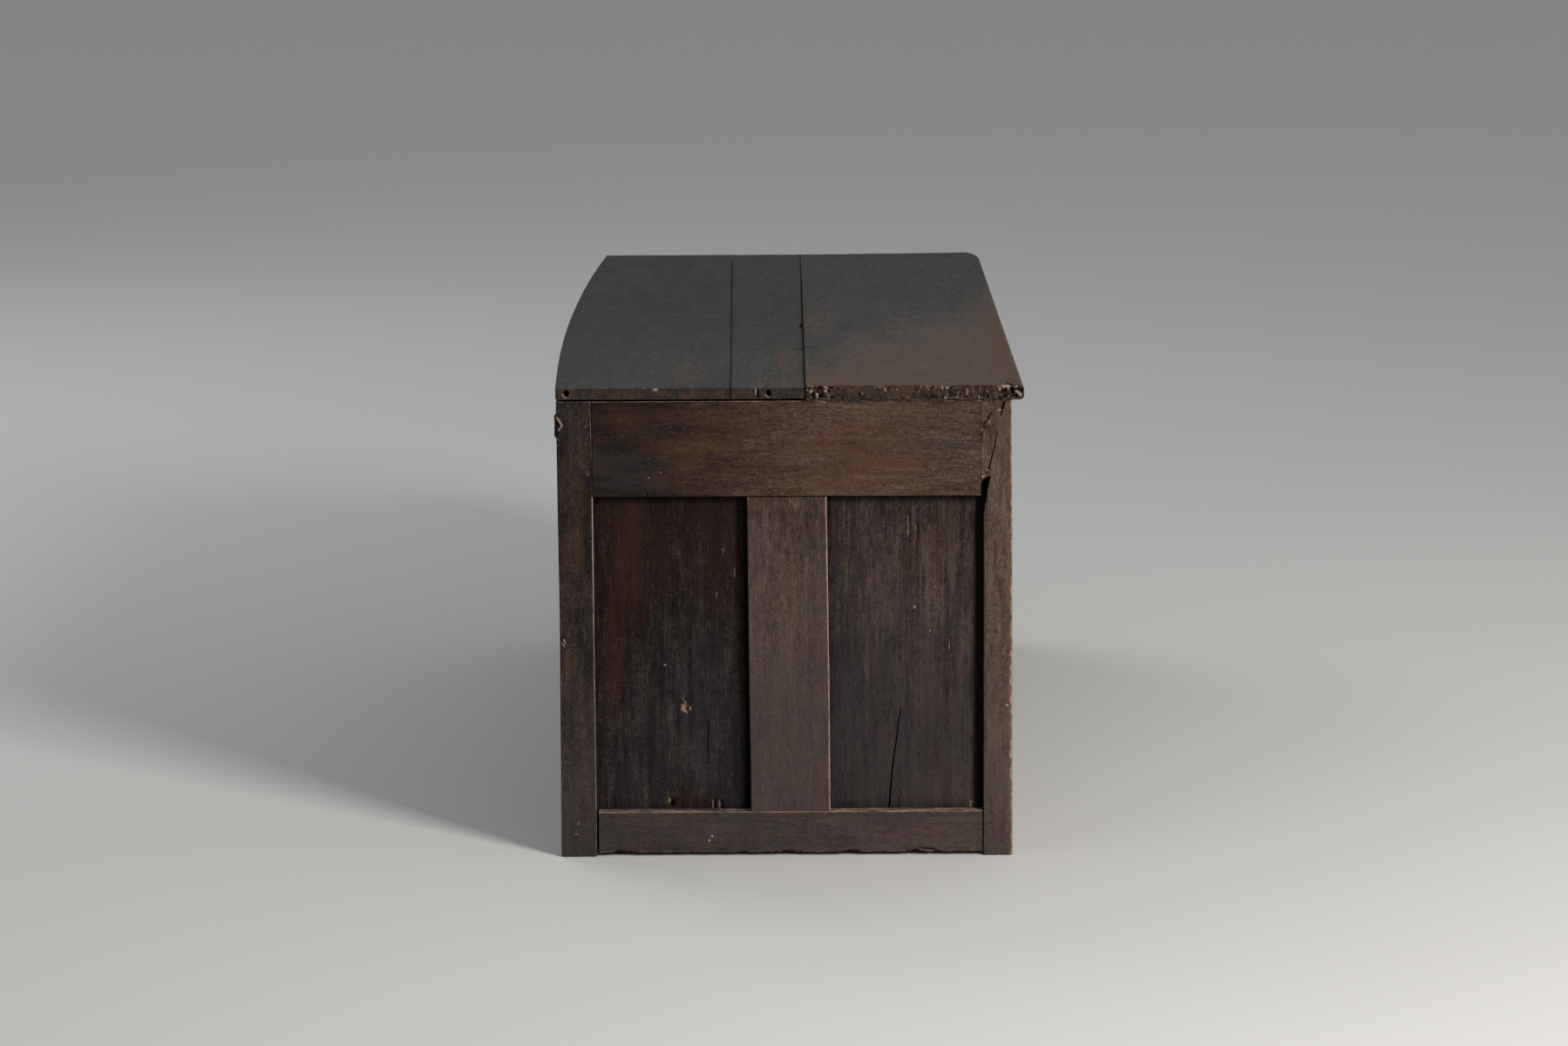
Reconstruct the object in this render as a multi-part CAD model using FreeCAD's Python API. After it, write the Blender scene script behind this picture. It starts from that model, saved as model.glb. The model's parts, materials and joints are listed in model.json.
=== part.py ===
"""Panelled blanket chest with a hinged plank lid, as an assembly of separate pieces.

Units are millimetres and +Z is up. X runs along the chest and the front faces -Y; left and
right are as seen from the front. The origin is on the floor, under the middle of the whole
chest. Each piece is written as its own solid to parts/NAME.step.
"""

import FreeCAD
import Part
import os

# ---- Driving dimensions: the body ----
BODY_LENGTH = 1200.0
BODY_DEPTH = 550.0
BODY_HEIGHT = 566.0
RAIL_LIFT = 5.0            # the posts reach this far below the bottom rails
POST_WIDTH = 90.0          # along X
FRONT_POST_DEPTH = 38.0    # along Y
REAR_POST_DEPTH = 43.0
RAIL_THICKNESS = 32.0
TOP_RAIL_HEIGHT = 117.0
BOTTOM_RAIL_HEIGHT = 52.0
END_MUNTIN_WIDTH = 96.0
END_MUNTIN_SHIFT = -2.0    # the end muntins stand this far off the middle, towards the front
LONG_MUNTIN_WIDTH = 90.0
LONG_PANEL_COUNT = 3       # panels in the front, and in the back

# ---- Panels, which float in grooves ----
PANEL_RECESS = 15.0        # from the frame's face to the panel's face
PANEL_THICKNESS = 12.0
PANEL_EDGE = 7.5           # thickness left at the rim, once the back is bevelled
PANEL_BEVEL = 30.0         # width of that bevel
PANEL_TONGUE = 8.0         # how far the rim enters its groove
GROOVE_SPARE = 1.0         # room for the panel to swell
FIT_GAP = 0.1              # clearance on each side of a tongue or a tenon

# ---- Mortise and tenon joints, and their pegs ----
TENON_INSET = 14.0         # from the frame's face to the tenon
TENON_THICKNESS = 10.0
TENON_SHOULDER = 6.0       # at the bottom rails' lower edge
TOP_TENON_SHOULDER = 14.0  # at the top rails' upper edge
TENON_GROOVE_STEP = 1.0    # from the panel groove to a rail's tenon
END_TENON_COVER = 8.0      # wood left beyond the tenons of the end rails, in the thinner posts
LONG_TENON_COVER = 24.0    # and between the mortises of a post's two sides
MUNTIN_TENON_SHOULDER = 15.0
FLOOR_GROOVE_WALL = 2.0    # wood left between a muntin's mortise and the floor's groove
MORTISE_SPARE = 0.8        # the mortise is deeper than the tenon by this
PEG_RADIUS = 3.5
PEG_COVER = 4.0            # wood left beyond a peg's tip, in a rail
PEG_PROUD = 0.6
TOP_PEG_SPACING = 58.0     # between the two pegs of a top rail's tenon
TOP_PEG_SETBACK = 6.5      # from the tenon's shoulder
BOTTOM_PEG_SPACING = 17.0
BOTTOM_PEG_LIFT = 4.0      # the bottom pair sits this far above the rail's middle
FRONT_LOW_PEG_SETBACK = 13.0
REAR_LOW_PEG_SETBACK = 24.0
MUNTIN_PEG_SHARE = 0.55    # how far along a muntin's tenon its pegs stand
END_MUNTIN_TOP_PEGS = (-14.0, 21.5)      # across, from the muntin's middle
END_MUNTIN_BOTTOM_PEGS = (-19.0, 7.5)
LONG_MUNTIN_PEGS = (-18.0, 18.0)

# ---- The sliver that is broken off the front left post, below the top rail's joint ----
CHIP_DROP = 94.0           # from the post's top to the top of the break
CHIP_LENGTH = 44.0
CHIP_TOP_SLOPE = 9.0       # the break's upper edge falls this much towards the post's edge
CHIP_STRAIGHT = 15.0       # its deepest edge is this long, before it runs out to nothing
CHIP_DEPTH = 7.5
CHIP_THICKNESS = 12.0

# ---- Floor ----
FLOOR_LIFT = 20.0          # from the bottom rails' underside to the boards' underside
FLOOR_THICKNESS = 12.0
FLOOR_TONGUE_WALL = 1.0    # from the tenons' inner face to the floor's groove
FLOOR_BOARD_COUNT = 4
FLOOR_BOARD_GAP = 0.4
BEARER_WIDTH = 60.0
BEARER_COVER = 5.0         # rail left under the bearer's seat

# ---- Lid ----
LID_END_OVERHANG = 5.0
LID_FRONT_OVERHANG = 13.0
LID_REAR_BOW = 9.0         # the rear edge bows out this far at the middle
LID_REAR_TAPER = 12.5      # and ends this far inside the back at the right end
FRONT_BOARD_WIDTH = 263.0
MIDDLE_BOARD_LEFT_WIDTH = 89.0
MIDDLE_BOARD_RIGHT_WIDTH = 101.0
THIN_BOARD = 14.0          # thickness of the rear and middle boards
FRONT_BOARD = 19.0         # thickness of the front board
LID_BOARD_GAP = 0.6
NOSING_RADIUS = 6.5
NOSING_LIMIT = 0.45        # the largest radius, as a share of the board's thickness
LID_REST_GAP = 0.3         # between the front board and the rails that it comes down on
CLEAT_HOLE_RADIUS = 3.2    # empty peg holes in the end grain, from end cleats now gone
CLEAT_HOLE_DEPTH = 30.0
CLEAT_HOLE_EDGE = 2.0      # wood left between the lid's rear edge and the first hole
BATTEN_WIDTH = 45.0
BATTEN_DEPTH = 20.0        # below the front board
BATTEN_END_GAP = 27.0      # from the rails' inner faces
BATTEN_STEP = 31.0         # from the hinge strap's edge to the batten's

# ---- Strap hinges ----
HINGE_INSET = 270.0        # from the end's face to the hinge's middle
STRAP_WIDTH = 34.0
STRAP_THICKNESS = 2.5
STRAP_STOP = 50.0          # from the front board to the strap's tip
LEAF_LENGTH = 84.0         # down the back of the chest
HIGH_NAIL_SHARE = 0.3      # how far down the leaf its upper nails stand
LOW_NAIL_SHARE = 0.8       # and its lower one
HINGE_PIN_RADIUS = 2.5
HINGE_PIN_GAP = 0.06
KNUCKLE_GAP = 0.4          # between the knuckles, and round them
PIN_HEAD_INSET = 0.9       # the head stays this far inside the knuckle's outline
PIN_HEAD_HEIGHT = 2.0

# ---- Nails ----
NAIL_RADIUS = 1.6
NAIL_HEAD_RADIUS = 4.6
NAIL_HEAD_HEIGHT = 1.8
NAIL_GAP = 0.05
NAIL_HEAD_FLAT = 0.45      # the head's flat top, as a share of its width
NAIL_COVER = 4.0           # wood left beyond a nail's tip
STRAP_NAIL_COUNT = 4       # in each lid strap

# ---- Modelling margins ----
CUT_PAST = 1.0             # how far a cut runs past the face that it opens on
ROLL_OVERLAP = 1.0         # how far a rolled part runs into its plate before they are joined
SAME_PLACE = 0.01          # two places nearer than this are the same

# ---- Places worked out from them ----
FRONT_UNDERSIDE = BODY_HEIGHT + LID_REST_GAP
STRAP_UNDERSIDE = FRONT_UNDERSIDE
THIN_UNDERSIDE = STRAP_UNDERSIDE + STRAP_THICKNESS
KNUCKLE_BORE = HINGE_PIN_RADIUS + HINGE_PIN_GAP
KNUCKLE_RADIUS = KNUCKLE_BORE + STRAP_THICKNESS
KNUCKLE_REACH = 2 * KNUCKLE_RADIUS + KNUCKLE_GAP
REAR_REACH = max(LID_REAR_BOW, KNUCKLE_REACH)
WHOLE_DEPTH = LID_FRONT_OVERHANG + BODY_DEPTH + REAR_REACH
FRONT_FACE = LID_FRONT_OVERHANG - WHOLE_DEPTH / 2
REAR_FACE = FRONT_FACE + BODY_DEPTH
END_FACE = BODY_LENGTH / 2
FRONT_POST_INSIDE = FRONT_FACE + FRONT_POST_DEPTH
REAR_POST_INSIDE = REAR_FACE - REAR_POST_DEPTH
POST_INSIDE_X = END_FACE - POST_WIDTH
TOP_RAIL_UNDERSIDE = BODY_HEIGHT - TOP_RAIL_HEIGHT
BOTTOM_RAIL_TOP = RAIL_LIFT + BOTTOM_RAIL_HEIGHT
FLOOR_UNDERSIDE = RAIL_LIFT + FLOOR_LIFT
FLOOR_TOP = FLOOR_UNDERSIDE + FLOOR_THICKNESS
FLOOR_TONGUE = RAIL_THICKNESS - TENON_INSET - TENON_THICKNESS - FLOOR_TONGUE_WALL
BEARER_THICKNESS = FLOOR_LIFT - BEARER_COVER
END_TENON_LENGTH = min(FRONT_POST_DEPTH, REAR_POST_DEPTH) - END_TENON_COVER
LONG_TENON_LENGTH = POST_WIDTH - TENON_INSET - TENON_THICKNESS - LONG_TENON_COVER
MUNTIN_TENON_LENGTH = BOTTOM_RAIL_TOP - FLOOR_TOP - FLOOR_GROOVE_WALL
PEG_LENGTH = RAIL_THICKNESS - PEG_COVER
END_MUNTIN_MIDDLE = (FRONT_POST_INSIDE + REAR_POST_INSIDE) / 2 + END_MUNTIN_SHIFT
LID_END = END_FACE + LID_END_OVERHANG
LID_FRONT = FRONT_FACE - LID_FRONT_OVERHANG
FRONT_SEAM = LID_FRONT + FRONT_BOARD_WIDTH
HINGE_AXIS_Y = REAR_FACE + KNUCKLE_GAP + KNUCKLE_RADIUS
HINGE_AXIS_Z = THIN_UNDERSIDE - KNUCKLE_RADIUS
KNUCKLE_LENGTH = (STRAP_WIDTH - 2 * KNUCKLE_GAP) / 3
PIN_HEAD_RADIUS = KNUCKLE_RADIUS - PIN_HEAD_INSET
HINGE_X = END_FACE - HINGE_INSET
BATTEN_X = HINGE_X + STRAP_WIDTH / 2 + BATTEN_STEP + BATTEN_WIDTH / 2
BATTEN_FRONT = FRONT_FACE + RAIL_THICKNESS + BATTEN_END_GAP
BATTEN_REAR = REAR_FACE - RAIL_THICKNESS - BATTEN_END_GAP
BATTEN_UNDERSIDE = FRONT_UNDERSIDE - BATTEN_DEPTH
STRAP_NAIL_LENGTH = STRAP_THICKNESS + THIN_BOARD - NAIL_COVER
LEAF_NAIL_LENGTH = STRAP_THICKNESS + RAIL_THICKNESS - NAIL_COVER
BATTEN_NAIL_LENGTH = BATTEN_DEPTH + min(FRONT_BOARD, STRAP_THICKNESS + THIN_BOARD) - NAIL_COVER
FLOOR_NAIL_LENGTH = FLOOR_THICKNESS + BEARER_THICKNESS - NAIL_COVER

UP = FreeCAD.Vector(0, 0, 1)
DOWN = FreeCAD.Vector(0, 0, -1)
ALONG = FreeCAD.Vector(1, 0, 0)
FORWARD = FreeCAD.Vector(0, -1, 0)


# ---- Small shape helpers ----

def block(x, y, z):
    """A box between two corners, given as (low, high) pairs along X, Y and Z."""
    corner = FreeCAD.Vector(x[0], y[0], z[0])
    return Part.makeBox(x[1] - x[0], y[1] - y[0], z[1] - z[0], corner)


def prism(points, direction):
    """A solid that carries a flat outline along a direction vector."""
    outline = Part.makePolygon(points + points[:1])
    return Part.Face(outline).extrude(direction)


def cut_all(solid, cutters):
    """The solid without any of the cutters."""
    return solid.cut(cutters) if cutters else solid


def join(solids):
    """One solid from pieces that touch or overlap."""
    return solids[0].multiFuse(solids[1:]).removeSplitter()


def nail(head_seat, direction, length):
    """A forged nail: head_seat is where the underside of its faceted head bears."""
    shank = Part.makeCylinder(NAIL_RADIUS, length, head_seat, direction)
    top_radius = NAIL_HEAD_RADIUS * NAIL_HEAD_FLAT
    head = Part.makeCone(NAIL_HEAD_RADIUS, top_radius, NAIL_HEAD_HEIGHT, head_seat, -direction)
    return join([shank, head])


def nail_hole(head_seat, direction, length):
    """The hole that the nail of that seat and length sits in."""
    start = head_seat - direction * NAIL_GAP
    return Part.makeCylinder(NAIL_RADIUS + NAIL_GAP, length + 2 * NAIL_GAP, start, direction)


# ---- The four sides: u runs along a side, w goes in from its outer face ----

class Side:
    """One framed side of the body: it turns side coordinates (u, w, z) into places."""

    def __init__(self, name, u_range, tenon_length, muntin_middles, muntin_width):
        self.name = name
        self.u_range = u_range
        self.tenon_length = tenon_length
        self.muntin_middles = muntin_middles
        self.muntin_width = muntin_width

    def at(self, u, w, z):
        """The place of a point of this side."""
        places = {
            "left": (-END_FACE + w, u, z),
            "right": (END_FACE - w, u, z),
            "front": (u, FRONT_FACE + w, z),
            "rear": (u, REAR_FACE - w, z),
        }
        return FreeCAD.Vector(*places[self.name])

    def block(self, u, w, z):
        """A box of this side, given as (low, high) pairs."""
        a = self.at(u[0], w[0], z[0])
        b = self.at(u[1], w[1], z[1])
        return block(sorted((a.x, b.x)), sorted((a.y, b.y)), sorted((a.z, b.z)))

    def peg(self, u, z, radius, start, end):
        """A round peg that enters the side at (u, z), from depth start to depth end."""
        foot = self.at(u, start, z)
        way = self.at(u, end, z) - foot
        return Part.makeCylinder(radius, way.Length, foot, way)

    def openings(self):
        """The u ranges of the panel openings, between posts and muntins."""
        half = self.muntin_width / 2
        lows = [self.u_range[0]] + [m + half for m in self.muntin_middles]
        highs = [m - half for m in self.muntin_middles] + [self.u_range[1]]
        return list(zip(lows, highs))


def even_muntins(u_range, count, width):
    """The middles of the muntins that divide a side into count equal panels."""
    panel = (u_range[1] - u_range[0] - (count - 1) * width) / count
    return [u_range[0] + (n + 1) * panel + (n + 0.5) * width for n in range(count - 1)]


END_RANGE = (FRONT_POST_INSIDE, REAR_POST_INSIDE)
LONG_RANGE = (-POST_INSIDE_X, POST_INSIDE_X)
LONG_MUNTINS = even_muntins(LONG_RANGE, LONG_PANEL_COUNT, LONG_MUNTIN_WIDTH)
SIDES = {
    "left": Side("left", END_RANGE, END_TENON_LENGTH, [END_MUNTIN_MIDDLE], END_MUNTIN_WIDTH),
    "right": Side("right", END_RANGE, END_TENON_LENGTH, [END_MUNTIN_MIDDLE], END_MUNTIN_WIDTH),
    "front": Side("front", LONG_RANGE, LONG_TENON_LENGTH, LONG_MUNTINS, LONG_MUNTIN_WIDTH),
    "rear": Side("rear", LONG_RANGE, LONG_TENON_LENGTH, LONG_MUNTINS, LONG_MUNTIN_WIDTH),
}
ENDS = ("left", "right")
TENON_W = (TENON_INSET, TENON_INSET + TENON_THICKNESS)
MORTISE_W = (TENON_W[0] - FIT_GAP, TENON_W[1] + FIT_GAP)
GROOVE_W = (PANEL_RECESS - FIT_GAP, PANEL_RECESS + PANEL_EDGE + FIT_GAP)
GROOVE_DEPTH = PANEL_TONGUE + GROOVE_SPARE
TOP_RAIL_Z = (TOP_RAIL_UNDERSIDE, BODY_HEIGHT)
BOTTOM_RAIL_Z = (RAIL_LIFT, BOTTOM_RAIL_TOP)
TENON_STEP = GROOVE_DEPTH + TENON_GROOVE_STEP
TOP_TENON_Z = (TOP_RAIL_UNDERSIDE + TENON_STEP, BODY_HEIGHT - TOP_TENON_SHOULDER)
BOTTOM_TENON_Z = (RAIL_LIFT + TENON_SHOULDER, BOTTOM_RAIL_TOP - TENON_STEP)


# ---- Pegs ----

def rail_peg_places(side):
    """(u, z) of each peg that locks a rail's tenons into the posts."""
    top_middle = sum(TOP_RAIL_Z) / 2
    bottom_middle = sum(BOTTOM_RAIL_Z) / 2 + BOTTOM_PEG_LIFT
    low_u, high_u = side.u_range
    places = []
    for step in (-0.5, 0.5):
        z = top_middle + step * TOP_PEG_SPACING
        places.append((low_u - TOP_PEG_SETBACK, z))
        places.append((high_u + TOP_PEG_SETBACK, z))
        z = bottom_middle + step * BOTTOM_PEG_SPACING
        if side.name in ENDS:
            places.append((high_u + REAR_LOW_PEG_SETBACK, z))
            if step > 0:
                places.append((low_u - FRONT_LOW_PEG_SETBACK, z))
        else:
            places.append((low_u - FRONT_LOW_PEG_SETBACK, z))
            places.append((high_u + FRONT_LOW_PEG_SETBACK, z))
    return places


def muntin_peg_places(side):
    """(u, z) of each peg that locks a muntin's tenons into the rails."""
    if side.name in ENDS:
        top_steps = END_MUNTIN_TOP_PEGS
        bottom_steps = END_MUNTIN_BOTTOM_PEGS
    else:
        top_steps = bottom_steps = LONG_MUNTIN_PEGS
    setback = MUNTIN_TENON_LENGTH * MUNTIN_PEG_SHARE
    top_z = TOP_RAIL_UNDERSIDE + setback
    bottom_z = BOTTOM_RAIL_TOP - setback
    places = []
    for middle in side.muntin_middles:
        places += [(middle + step, top_z) for step in top_steps]
        places += [(middle + step, bottom_z) for step in bottom_steps]
    return places


def peg_holes(side, places):
    """The bores that the pegs at those places are driven into."""
    end = PEG_LENGTH + FIT_GAP
    return [side.peg(u, z, PEG_RADIUS + FIT_GAP, -CUT_PAST, end) for u, z in places]


def pegs(side):
    """All the pegs of one side, as separate solids in one group."""
    places = rail_peg_places(side) + muntin_peg_places(side)
    return Part.Compound([side.peg(u, z, PEG_RADIUS, -PEG_PROUD, PEG_LENGTH) for u, z in places])


# ---- Frame pieces ----

def rail(side, z, tenon_z):
    """A rail between two posts, with a tenon at each end."""
    low_u, high_u = side.u_range
    body = side.block((low_u, high_u), (0, RAIL_THICKNESS), z)
    reach = (low_u - side.tenon_length, high_u + side.tenon_length)
    return join([body, side.block(reach, TENON_W, tenon_z)])


def muntin_tenon_range(side, middle):
    """The u range of a muntin's tenons."""
    half = side.muntin_width / 2 - MUNTIN_TENON_SHOULDER
    return (middle - half, middle + half)


def muntin_mortises(side, z):
    """The mortises that the muntins' tenons enter in a rail, over the z range."""
    cutters = []
    for middle in side.muntin_middles:
        low_u, high_u = muntin_tenon_range(side, middle)
        cutters.append(side.block((low_u - FIT_GAP, high_u + FIT_GAP), MORTISE_W, z))
    return cutters


def top_rail(side):
    """A top rail, grooved below for the panels."""
    under = TOP_RAIL_UNDERSIDE
    cutters = [side.block(side.u_range, GROOVE_W, (under, under + GROOVE_DEPTH))]
    cutters += muntin_mortises(side, (under, under + MUNTIN_TENON_LENGTH + MORTISE_SPARE))
    cutters += peg_holes(side, rail_peg_places(side) + muntin_peg_places(side))
    if side.name == "rear":
        cutters += leaf_nail_holes()
    return cut_all(rail(side, TOP_RAIL_Z, TOP_TENON_Z), cutters)


def bottom_rail(side):
    """A bottom rail, grooved above for the panels and inside for the floor."""
    top = BOTTOM_RAIL_TOP
    cutters = [side.block(side.u_range, GROOVE_W, (top - GROOVE_DEPTH, top))]
    cutters += muntin_mortises(side, (top - MUNTIN_TENON_LENGTH - MORTISE_SPARE, top))
    cutters += peg_holes(side, rail_peg_places(side) + muntin_peg_places(side))
    floor_w = (RAIL_THICKNESS - FLOOR_TONGUE - FIT_GAP, RAIL_THICKNESS)
    floor_z = (FLOOR_UNDERSIDE - FIT_GAP, FLOOR_TOP + FIT_GAP)
    cutters.append(side.block(side.u_range, floor_w, floor_z))
    if side.name not in ENDS:
        half = BEARER_WIDTH / 2 + FIT_GAP
        seat_z = (FLOOR_UNDERSIDE - BEARER_THICKNESS - FIT_GAP, FLOOR_UNDERSIDE)
        cutters.append(side.block((-half, half), floor_w, seat_z))
    return cut_all(rail(side, BOTTOM_RAIL_Z, BOTTOM_TENON_Z), cutters)


def muntin(side, middle):
    """An upright between the rails, grooved on both edges for the panels."""
    half = side.muntin_width / 2
    body_z = (BOTTOM_RAIL_TOP, TOP_RAIL_UNDERSIDE)
    body = side.block((middle - half, middle + half), (0, RAIL_THICKNESS), body_z)
    tenon_z = (body_z[0] - MUNTIN_TENON_LENGTH, body_z[1] + MUNTIN_TENON_LENGTH)
    solid = join([body, side.block(muntin_tenon_range(side, middle), TENON_W, tenon_z)])
    cutters = [
        side.block((middle - half, middle - half + GROOVE_DEPTH), GROOVE_W, body_z),
        side.block((middle + half - GROOVE_DEPTH, middle + half), GROOVE_W, body_z),
    ]
    cutters += peg_holes(side, muntin_peg_places(side))
    return cut_all(solid, cutters)


def panel(side, u_range):
    """A panel with a flat face and a back that is bevelled down to its rim."""
    front_w = PANEL_RECESS
    rim_w = PANEL_RECESS + PANEL_EDGE
    back_w = PANEL_RECESS + PANEL_THICKNESS
    low = (u_range[0] - PANEL_TONGUE, BOTTOM_RAIL_TOP - PANEL_TONGUE)
    high = (u_range[1] + PANEL_TONGUE, TOP_RAIL_UNDERSIDE + PANEL_TONGUE)
    rim = side.block((low[0], high[0]), (front_w, rim_w), (low[1], high[1]))

    def outline(inset, w):
        corners = [
            side.at(low[0] + inset, w, low[1] + inset),
            side.at(high[0] - inset, w, low[1] + inset),
            side.at(high[0] - inset, w, high[1] - inset),
            side.at(low[0] + inset, w, high[1] - inset),
        ]
        return Part.makePolygon(corners + corners[:1])

    rim_inset = PANEL_TONGUE + FIT_GAP
    field = Part.makeLoft([outline(rim_inset, rim_w), outline(rim_inset + PANEL_BEVEL, back_w)], True)
    return join([rim, field])


def post_box(is_left, is_front):
    """The plain box of a corner post."""
    x = (-END_FACE, -POST_INSIDE_X) if is_left else (POST_INSIDE_X, END_FACE)
    y = (FRONT_FACE, FRONT_POST_INSIDE) if is_front else (REAR_POST_INSIDE, REAR_FACE)
    return block(x, y, (0, BODY_HEIGHT))


def post_cuts(side, is_low):
    """Mortises, panel groove and peg bores that one side needs in the post at its low or high end."""
    reach = side.tenon_length + MORTISE_SPARE
    if is_low:
        shoulder = side.u_range[0]
        mortise_u = (shoulder - reach, shoulder)
        groove_u = (shoulder - GROOVE_DEPTH, shoulder)
    else:
        shoulder = side.u_range[1]
        mortise_u = (shoulder, shoulder + reach)
        groove_u = (shoulder, shoulder + GROOVE_DEPTH)
    cutters = [
        side.block(mortise_u, MORTISE_W, (tenon[0] - FIT_GAP, tenon[1] + FIT_GAP))
        for tenon in (TOP_TENON_Z, BOTTOM_TENON_Z)
    ]
    groove_z = (BOTTOM_RAIL_TOP - GROOVE_DEPTH, TOP_RAIL_UNDERSIDE + GROOVE_DEPTH)
    cutters.append(side.block(groove_u, GROOVE_W, groove_z))
    own = [(u, z) for u, z in rail_peg_places(side) if (u < shoulder) == is_low]
    return cutters + peg_holes(side, own)


def broken_sliver():
    """What is missing from the inner edge of the front left post, as seen on the left end."""
    y = FRONT_POST_INSIDE
    top = BODY_HEIGHT - CHIP_DROP
    outline = [
        (y + CUT_PAST, top - CHIP_TOP_SLOPE),
        (y - CHIP_DEPTH, top),
        (y - CHIP_DEPTH, top - CHIP_STRAIGHT),
        (y + CUT_PAST, top - CHIP_LENGTH),
    ]
    x = -END_FACE - CUT_PAST
    points = [FreeCAD.Vector(x, py, pz) for py, pz in outline]
    return prism(points, ALONG * (CHIP_THICKNESS + CUT_PAST))


def post(is_left, is_front):
    """A corner post with the joints of its end and of its long side."""
    end = SIDES["left" if is_left else "right"]
    long_side = SIDES["front" if is_front else "rear"]
    cutters = post_cuts(end, is_front) + post_cuts(long_side, is_left)
    if is_left and is_front:
        cutters.append(broken_sliver())
    return cut_all(post_box(is_left, is_front), cutters)


# ---- Floor ----

def floor_bounds():
    """The floor's ranges along X and Y, out to the bottoms of its grooves."""
    inset = RAIL_THICKNESS - FLOOR_TONGUE
    return (-END_FACE + inset, END_FACE - inset), (FRONT_FACE + inset, REAR_FACE - inset)


def floor_board_ranges():
    """The Y range of each floor board, front to back."""
    low, high = floor_bounds()[1]
    step = (high - low + FLOOR_BOARD_GAP) / FLOOR_BOARD_COUNT
    return [(low + n * step, low + (n + 1) * step - FLOOR_BOARD_GAP) for n in range(FLOOR_BOARD_COUNT)]


def floor_nail_seats(y_range):
    """Where the nails of one floor board bear, above the bearer."""
    quarter = (y_range[1] - y_range[0]) / 4
    return [
        FreeCAD.Vector(BEARER_WIDTH / 5, y_range[0] + quarter, FLOOR_TOP),
        FreeCAD.Vector(-BEARER_WIDTH / 5, y_range[1] - quarter, FLOOR_TOP),
    ]


def floor_board(y_range):
    """A floor board, notched round the corner posts where it meets them."""
    board = block(floor_bounds()[0], y_range, (FLOOR_UNDERSIDE, FLOOR_TOP))
    cutters = []
    for is_left in (True, False):
        for is_front in (True, False):
            box = post_box(is_left, is_front).BoundBox
            cutters.append(block(
                (box.XMin - FIT_GAP, box.XMax + FIT_GAP),
                (box.YMin - FIT_GAP, box.YMax + FIT_GAP),
                (0, BODY_HEIGHT),
            ))
    cutters += [nail_hole(seat, DOWN, FLOOR_NAIL_LENGTH) for seat in floor_nail_seats(y_range)]
    return cut_all(board, cutters)


def floor_bearer():
    """The bearer under the middle of the floor, housed in the front and rear bottom rails."""
    half = BEARER_WIDTH / 2
    solid = block((-half, half), floor_bounds()[1], (FLOOR_UNDERSIDE - BEARER_THICKNESS, FLOOR_UNDERSIDE))
    cutters = []
    for y_range in floor_board_ranges():
        cutters += [nail_hole(seat, DOWN, FLOOR_NAIL_LENGTH) for seat in floor_nail_seats(y_range)]
    return cut_all(solid, cutters)


def floor_nails():
    """The nails that hold the floor boards down on their bearer."""
    seats = [seat for y_range in floor_board_ranges() for seat in floor_nail_seats(y_range)]
    return Part.Compound([nail(seat, DOWN, FLOOR_NAIL_LENGTH) for seat in seats])


# ---- Hinges ----

def hinge_middles():
    """Where the hinges stand along X, left then right."""
    return {"left": -HINGE_X, "right": HINGE_X}


def strap_tip_y():
    """The Y of the middle of the strap's round tip."""
    return FRONT_SEAM + STRAP_STOP + STRAP_WIDTH / 2


def strap_nail_seats(x):
    """Where the nails of a lid strap bear, under it."""
    start = REAR_FACE - RAIL_THICKNESS - STRAP_WIDTH
    step = (start - strap_tip_y()) / (STRAP_NAIL_COUNT - 1)
    places = [start - n * step for n in range(STRAP_NAIL_COUNT)]
    return [FreeCAD.Vector(x, y, STRAP_UNDERSIDE) for y in places]


def leaf_nail_seats(x):
    """Where the nails of a back leaf bear, on its rear face."""
    y = REAR_FACE + STRAP_THICKNESS
    top = HINGE_AXIS_Z - LEAF_LENGTH * HIGH_NAIL_SHARE
    low = HINGE_AXIS_Z - LEAF_LENGTH * LOW_NAIL_SHARE
    side_step = STRAP_WIDTH / 4
    return [
        FreeCAD.Vector(x - side_step, y, top),
        FreeCAD.Vector(x + side_step, y, top),
        FreeCAD.Vector(x, y, low),
    ]


def leaf_nail_holes():
    """The holes of both leaves' nails, as they run on into the rear top rail."""
    return [
        nail_hole(seat, FORWARD, LEAF_NAIL_LENGTH)
        for x in hinge_middles().values()
        for seat in leaf_nail_seats(x)
    ]


def knuckle(x_range):
    """A length of rolled knuckle round the hinge axis."""
    start = FreeCAD.Vector(x_range[0], HINGE_AXIS_Y, HINGE_AXIS_Z)
    length = x_range[1] - x_range[0]
    return Part.makeCylinder(KNUCKLE_RADIUS, length, start, ALONG)


def pin_bore(x):
    """The bore for the pin, through all three knuckles."""
    start = FreeCAD.Vector(x - STRAP_WIDTH, HINGE_AXIS_Y, HINGE_AXIS_Z)
    return Part.makeCylinder(KNUCKLE_BORE, 2 * STRAP_WIDTH, start, ALONG)


def outer_knuckle_ranges(x):
    """The X ranges of the two knuckles of the back leaf."""
    half = STRAP_WIDTH / 2
    return [(x - half, x - half + KNUCKLE_LENGTH), (x + half - KNUCKLE_LENGTH, x + half)]


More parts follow.
